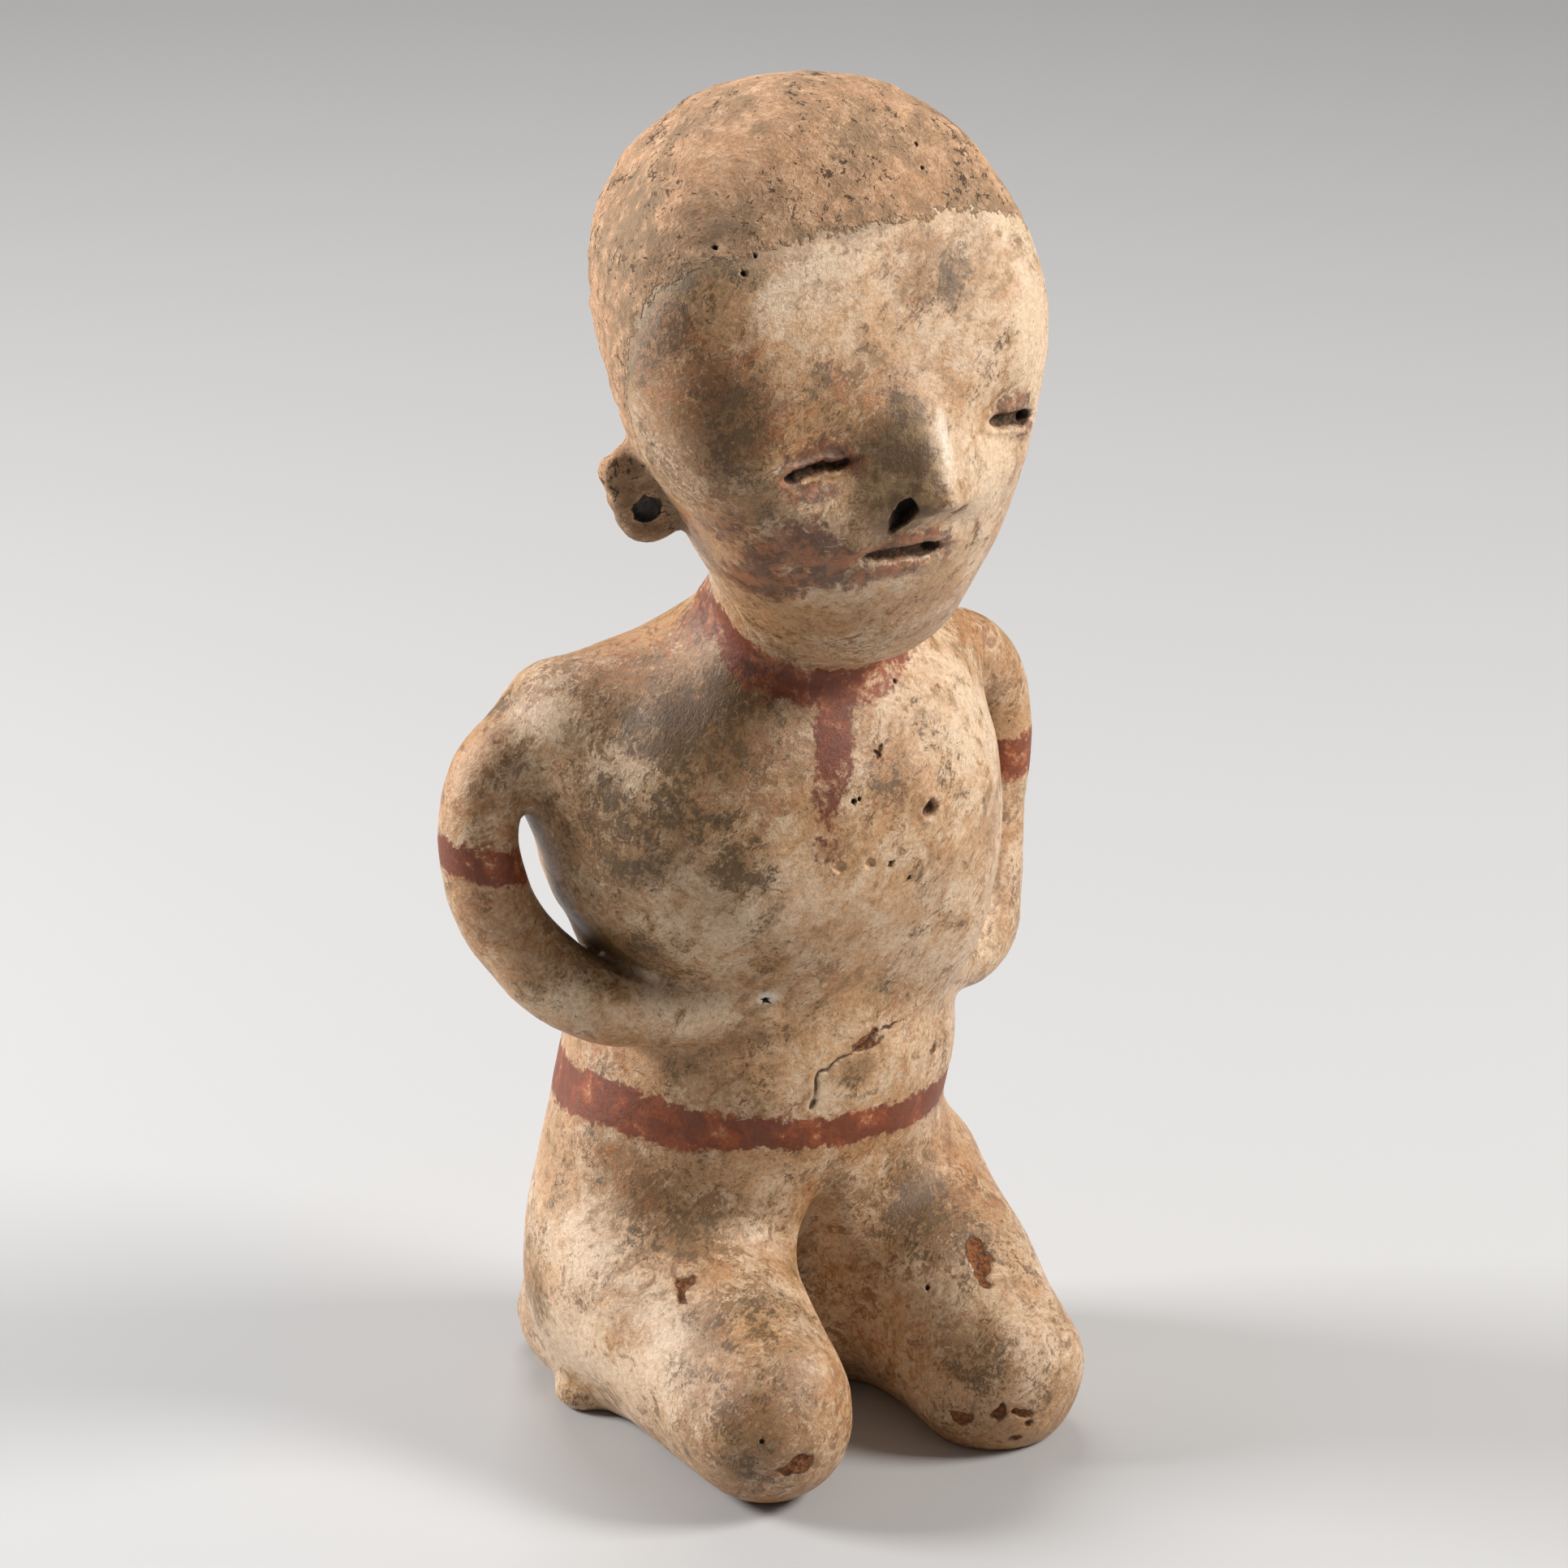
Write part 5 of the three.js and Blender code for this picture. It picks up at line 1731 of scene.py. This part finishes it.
@dataclass(frozen=True)
class BareClay:
    """Unslipped fired clay: dry, sandy, pinkish tan with a grey bloom, pits and crumbled spots."""

    grey: str = "9b7c5d"
    pit: str = "3a2516"
    clouds: Grain = Grain(0.020, 7.0, 0.62, 0.2)
    patch: Grain = Grain(0.0050, 8.0, 0.68, 0.15)
    fleck: Grain = Grain(0.0018, 6.0, 0.70)
    grain: Grain = Grain(0.0006, 4.0, 0.66)
    crust: Grain = Grain(0.0018, 5.0, 0.65, 0.8, (2.2, 2.2, 1.0), (12.0, -8.0, 0.0))
    gather: Grain = Grain(0.010, 3.0, 0.55, turn=(0.0, 30.0, 50.0))
    hole: Grain = Grain(0.0017, 4.0, 0.62, 0.8, turn=(20.0, 0.0, 0.0))
    prick: Grain = Grain(0.0009, 2.0, 0.5)
    coats: Tuple[Coat, ...] = (
        Coat("c0946f", (("clouds", 0.7), ("patch", 0.3)), 0.40, 0.58),
        Coat("d5ad8a", (("patch", 0.5), ("fleck", 0.5)), 0.47, 0.60, 0.8),
        Coat(grey, (("fleck", 1.0),), 0.60, 0.70, 0.5),
    )
    pits: Coat = Coat(pit, (("hole", 1.0), ("gather", 0.42)), 0.835, 0.875)
    pricks: Coat = Coat(pit, (("prick", 1.0), ("gather", 0.30)), 0.845, 0.89, 0.8)
    pit_share: float = 0.8
    height: Weights = (("grain", 1.4), ("fleck", 2.8), ("crust", 4.0), ("patch", 1.5), ("pits", -4.2))

    def group(self) -> bpy.types.NodeTree:
        """Clouded clay colours with ragged pits that gather in clusters.

        Returns:
            The node group.
        """
        sheet, take, give = new_group("bare_clay", ("Place",), ("Colour", "Height"))
        read = lay_grains(self, sheet, take["Place"])
        read["pits"] = sheet.most(self.pits.mask(sheet, read), self.pricks.mask(sheet, read))
        colour = tint(self.grey)
        for coat in self.coats:
            colour = coat.lay(sheet, colour, read)
        colour = sheet.mix(sheet.times(read["pits"], self.pit_share), colour, tint(self.pit))
        sand = sheet.total((read["grain"], 0.6), (read["crust"], 0.4))
        sheet.feed(give["Colour"], sheet.shade(colour, sheet.ease(sand, 0.34, 0.66, 0.76, 1.18)))
        sheet.feed(give["Height"], weigh(sheet, read, self.height))
        return sheet.tree


@dataclass(frozen=True)
class BurnishedClay:
    """The figure's one material: cream slip, red slip, bare clay, flakes, crack, grime and painted shade in
    layers.
    """

    slip: CreamSlip = CreamSlip()
    red: RedSlip = RedSlip()
    bare: BareClay = BareClay()
    edge: RaggedEdge = RaggedEdge()
    rub: Grain = Grain(0.0028, 9.0, 0.78, 0.6)
    tone: Grain = Grain(0.0050, 8.0, 0.74, 0.4)
    mottle: Grain = Grain(0.0040, 9.0, 0.68, 0.3)
    crumb: Grain = Grain(0.0009, 3.0, 0.65)
    broken: str = "925a32"
    broken_dark: str = "5a361e"
    pale_rim: str = "d6bf9c"
    rim_share: float = 0.18
    dirt_and_shade: str = "1d140d"
    ash: str = "8b7257"
    trench: str = "6a4728"
    blush_dark: str = "522c1a"
    blush_light: str = "9b5c37"
    nose_stain_and_shade_dark: str = "6b5032"
    nose_stain_and_shade_light: str = "a3845c"
    worn_edges: Tuple[Tuple[Mark, float, float], ...] = (
        (Mark.RED_EDGE, 0.95, 0.5),
        (Mark.BARE_EDGE, 0.9, 0.45),
        (Mark.FLAKE_EDGE, 0.22, 0.16),
    )
    red_roughness: float = 0.48
    bare_roughness: float = 0.88
    dull_roughness: float = 0.95
    specular: float = 0.5
    relief: float = 0.00019

    def material(self) -> bpy.types.Material:
        """Stacks the layers by their marks and feeds colour, roughness and relief to one plain shader.

        Returns:
            The material.
        """
        made = bpy.data.materials.new("burnished_clay")
        made.use_nodes = True
        made.node_tree.nodes.clear()
        sheet = NodeSheet(made.node_tree)
        place = sheet.node("ShaderNodeTexCoord").outputs["Object"]
        mark = {m: sheet.node("ShaderNodeAttribute", attribute_name=m.value).outputs["Fac"] for m in Mark}
        read = lay_grains(self, sheet, place)
        ragged = self.edge.group()
        slip = sheet.group(self.slip.group(), Place=place, Smoke=mark[Mark.SMOKE], Warm=mark[Mark.WARM],
                           Pale=mark[Mark.PALE], Crease=mark[Mark.CREASE]).outputs
        red = sheet.group(self.red.group(), Place=place, Strength=mark[Mark.RED_STRENGTH]).outputs
        bare = sheet.group(self.bare.group(), Place=place).outputs

        worn = [
            sheet.group(ragged, Place=place, Distance=mark[edge], Raggedness=shake, Softness=soft)
            for edge, shake, soft in self.worn_edges
        ]
        painted, uncovered, flaked = (laid.outputs["Mask"] for laid in worn)
        share = sheet.times(painted, red["Opacity"])
        colour = sheet.mix(share, slip["Colour"], red["Colour"])
        colour = self.rubbed_red(sheet, colour, read, mark)

        edge = mark[Mark.BARE_EDGE]
        rim = sheet.times(sheet.ease(edge, -3.6, -0.6), sheet.ease(edge, 2.4, 0.4))
        colour = sheet.mix(sheet.times(rim, self.rim_share), colour, tint(self.pale_rim))
        colour = sheet.mix(uncovered, colour, self.dry_clay(sheet, bare["Colour"], read, mark))

        broken = sheet.coat(tint(self.broken_dark), self.broken, read["crumb"], 0.38, 0.60)
        colour = sheet.mix(flaked, colour, broken)
        hollow = mark[Mark.HOLLOW]
        # Grime and painted shade on the floors of the cuts and holes.
        floor = sheet.coat(tint(self.dirt_and_shade), self.trench, read["crumb"], 0.44, 0.62)
        colour = sheet.mix(sheet.ease(hollow, 0.04, 0.28, 0.0, 0.92), colour, floor)
        # Grime and painted shade deep in the cuts and round the flakes, and the dark of the crack.
        dark = self.dark(sheet, mark)
        colour = sheet.mix(dark, colour, tint(self.dirt_and_shade))

        gloss = sheet.blend(share, slip["Roughness"], self.red_roughness)
        gloss = sheet.blend(uncovered, gloss, self.bare_roughness)
        dull = sheet.most(dark, sheet.ease(hollow, 0.04, 0.28))
        gloss = sheet.blend(sheet.most(flaked, dull), gloss, self.dull_roughness)

        height = sheet.blend(uncovered, slip["Height"], sheet.math("SUBTRACT", bare["Height"], 0.8))
        height = sheet.math("ADD", height, sheet.times(sheet.times(flaked, read["crumb"]), 1.2))
        bump = sheet.node("ShaderNodeBump")
        bump.inputs["Strength"].default_value = 1.0
        bump.inputs["Distance"].default_value = self.relief
        sheet.feed(bump.inputs["Height"], height)

        shader = sheet.node("ShaderNodeBsdfPrincipled")
        shader.inputs["Specular IOR Level"].default_value = self.specular
        for name, value in (("Base Color", colour), ("Roughness", gloss), ("Normal", bump.outputs["Normal"])):
            sheet.feed(shader.inputs[name], value)
        target = sheet.node("ShaderNodeOutputMaterial")
        sheet.feed(target.inputs["Surface"], shader.outputs["BSDF"])
        return made

    def rubbed_red(self, sheet: NodeSheet, colour: Socket, read: Sockets, mark: Dict[Mark, Socket]) -> Socket:
        """Rubs red into the blushed areas and darkens the flank of the nose with its stain and painted shade.

        Args:
            sheet: The material's sheet.
            colour: The colour so far.
            read: The material's own noises.
            mark: The marks on the skin.

        Returns:
            The new colour.
        """
        blush = mark[Mark.BLUSH]
        flush = sheet.ease(sheet.total((blush, 0.30), (read["rub"], 1.0)), 0.58, 0.74, 0.0, 0.85)
        flush = sheet.times(flush, sheet.ease(blush, 0.05, 0.5))
        rosy = sheet.coat(tint(self.blush_dark), self.blush_light, read["tone"], 0.44, 0.58)
        colour = sheet.mix(flush, colour, rosy)
        # Stain and painted shade on the nose's flank.
        flank_stain_and_shade = sheet.coat(tint(self.nose_stain_and_shade_dark), self.nose_stain_and_shade_light, read["mottle"], 0.46, 0.62)
        return sheet.mix(sheet.times(mark[Mark.STAIN_AND_SHADE], 0.86), colour, flank_stain_and_shade)

    def dry_clay(self, sheet: NodeSheet, colour: Socket, read: Sockets, mark: Dict[Mark, Socket]) -> Socket:
        """Greys the bare clay near the slip's edge and under the smoke mark, which holds smoke clouds and
        painted shade.

        Args:
            sheet: The material's sheet.
            colour: The bare clay's colour.
            read: The material's own noises.
            mark: The marks on the skin.

        Returns:
            The greyed colour.
        """
        by_edge = sheet.ease(mark[Mark.BARE_EDGE], 5.9, 0.5)
        ash = sheet.times(by_edge, sheet.ease(read["mottle"], 0.42, 0.56, 0.0, 0.55))
        gloom = sheet.total((mark[Mark.SMOKE], 0.25), (read["mottle"], 1.0))
        ash = sheet.most(ash, sheet.ease(gloom, 0.58, 0.76, 0.0, 0.75))
        return sheet.mix(ash, colour, tint(self.ash))

    def dark(self, sheet: NodeSheet, mark: Dict[Mark, Socket]) -> Socket:
        """Where grime and painted shade lie deep in the cuts and holes and in a line round each flake, and
        where the crack runs dark.

        Args:
            sheet: The material's sheet.
            mark: The marks on the skin.

        Returns:
            A share from 0 to 1.
        """
        flake = mark[Mark.FLAKE_EDGE]
        # A thin ring at each flake's edge, for grime and painted shade there.
        line = sheet.times(sheet.ease(flake, -0.35, 0.0), sheet.ease(flake, 0.4, 0.05))
        dark = sheet.most(sheet.ease(mark[Mark.HOLLOW], 0.42, 0.8, 0.0, 0.97),
                          sheet.ease(mark[Mark.CRACK], 0.2, 0.9, 0.0, 0.88))
        return sheet.most(dark, sheet.times(line, 0.5))


@dataclass(frozen=True)
class Lamp:
    """A soft rectangular light, placed by its direction from the figure as the camera sees it."""

    name: str
    right: float
    up: float
    towards: float
    reach: float
    width: float
    power: float
    colour: Point = (1.0, 1.0, 1.0)


@dataclass(frozen=True)
class Studio:
    """Plain pale floor, plain soft light, and a camera at the photograph's viewing angle."""

    azimuth: float = -30.0
    elevation: float = 21.0
    distance: float = 1.4307
    aim: Point = (0.01083, 0.0, 0.1256)
    lens: float = 163.6
    sensor: float = 36.0
    far: float = 50.0
    floor_reach: float = 9.0
    floor_colour: str = "b4b4b4"
    floor_roughness: float = 0.55
    world: float = 0.17
    world_colour: Row = (1.0, 0.98, 0.96, 1.0)
    lamps: Tuple[Lamp, ...] = (
        Lamp("key", 0.88, 0.52, 0.25, 1.2, 0.40, 18.0, (1.0, 0.97, 0.94)),
        Lamp("side", -0.92, 0.45, 0.05, 1.2, 0.40, 20.0, (1.0, 0.99, 0.99)),
        Lamp("top", -0.15, 1.0, -0.35, 1.4, 0.7, 8.0, (1.0, 1.0, 1.0)),
    )

    def axes(self) -> Tuple[Vector, Vector, Vector]:
        """The camera's right, up and back directions from its azimuth and elevation.

        Returns:
            Three unit vectors.
        """
        a, e = math.radians(self.azimuth), math.radians(self.elevation)
        back = Vector((math.sin(a) * math.cos(e), -math.cos(a) * math.cos(e), math.sin(e)))
        right = Vector((math.cos(a), math.sin(a), 0.0))
        return right, back.cross(right), back

    def camera(self, middle: Tuple[float, float]) -> None:
        """Places the camera.

        Args:
            middle: The form's middle in hundredths, which lies over the frame's origin.
        """
        _, _, back = self.axes()
        aim = Vector(self.aim) - Vector((middle[0] * UNIT, middle[1] * UNIT, 0.0))
        data = bpy.data.cameras.new("camera")
        data.lens = self.lens
        data.sensor_width = self.sensor
        data.clip_end = self.far
        made = put("camera", data)
        made.location = aim + back * self.distance
        face_back(made, back)
        bpy.context.scene.camera = made

    def floor(self) -> None:
        """Lays a wide plain pale floor, marked as stage."""
        reach = self.floor_reach
        mesh = bpy.data.meshes.new("floor")
        corners = [(-reach, -reach, 0.0), (reach, -reach, 0.0), (reach, reach, 0.0), (-reach, reach, 0.0)]
        mesh.from_pydata(corners, [], [(0, 1, 2, 3)])
        made = put("floor", mesh)
        paint = bpy.data.materials.new("floor_paint")
        paint.use_nodes = True
        shader = paint.node_tree.nodes["Principled BSDF"]
        shader.inputs["Base Color"].default_value = tint(self.floor_colour)
        shader.inputs["Roughness"].default_value = self.floor_roughness
        mesh.materials.append(paint)

    def light(self) -> None:
        """Hangs the soft lights and sets an even pale surround."""
        right, up, back = self.axes()
        aim = Vector((0.0, 0.0, 0.5 * HEIGHT))
        for lamp in self.lamps:
            data = bpy.data.lights.new(lamp.name, "AREA")
            data.shape = "SQUARE"
            data.size = lamp.width
            data.energy = lamp.power
            data.color = lamp.colour
            made = put(lamp.name, data)
            way = (right * lamp.right + up * lamp.up + back * lamp.towards).normalized()
            made.location = aim + way * lamp.reach
            face_back(made, way)
        world = bpy.data.worlds.new("surround")
        world.use_nodes = True
        surround = world.node_tree.nodes["Background"].inputs
        surround["Color"].default_value = self.world_colour
        surround["Strength"].default_value = self.world
        bpy.context.scene.world = world
        bpy.context.scene.view_settings.view_transform = "Standard"


def main() -> None:
    """Builds the skin, dresses it in clay, and sets the studio round it."""
    logging.basicConfig(level=logging.INFO, format="%(message)s")
    figure = FigureSkin()
    skin = figure.build()
    skin.data.materials.append(BurnishedClay().material())
    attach(skin, "root")
    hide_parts("figure")
    log.info("figure_skin stands for the node figure")
    studio = Studio()
    studio.camera(figure.middle)
    studio.floor()
    studio.light()


if __name__ == "__main__":
    main()
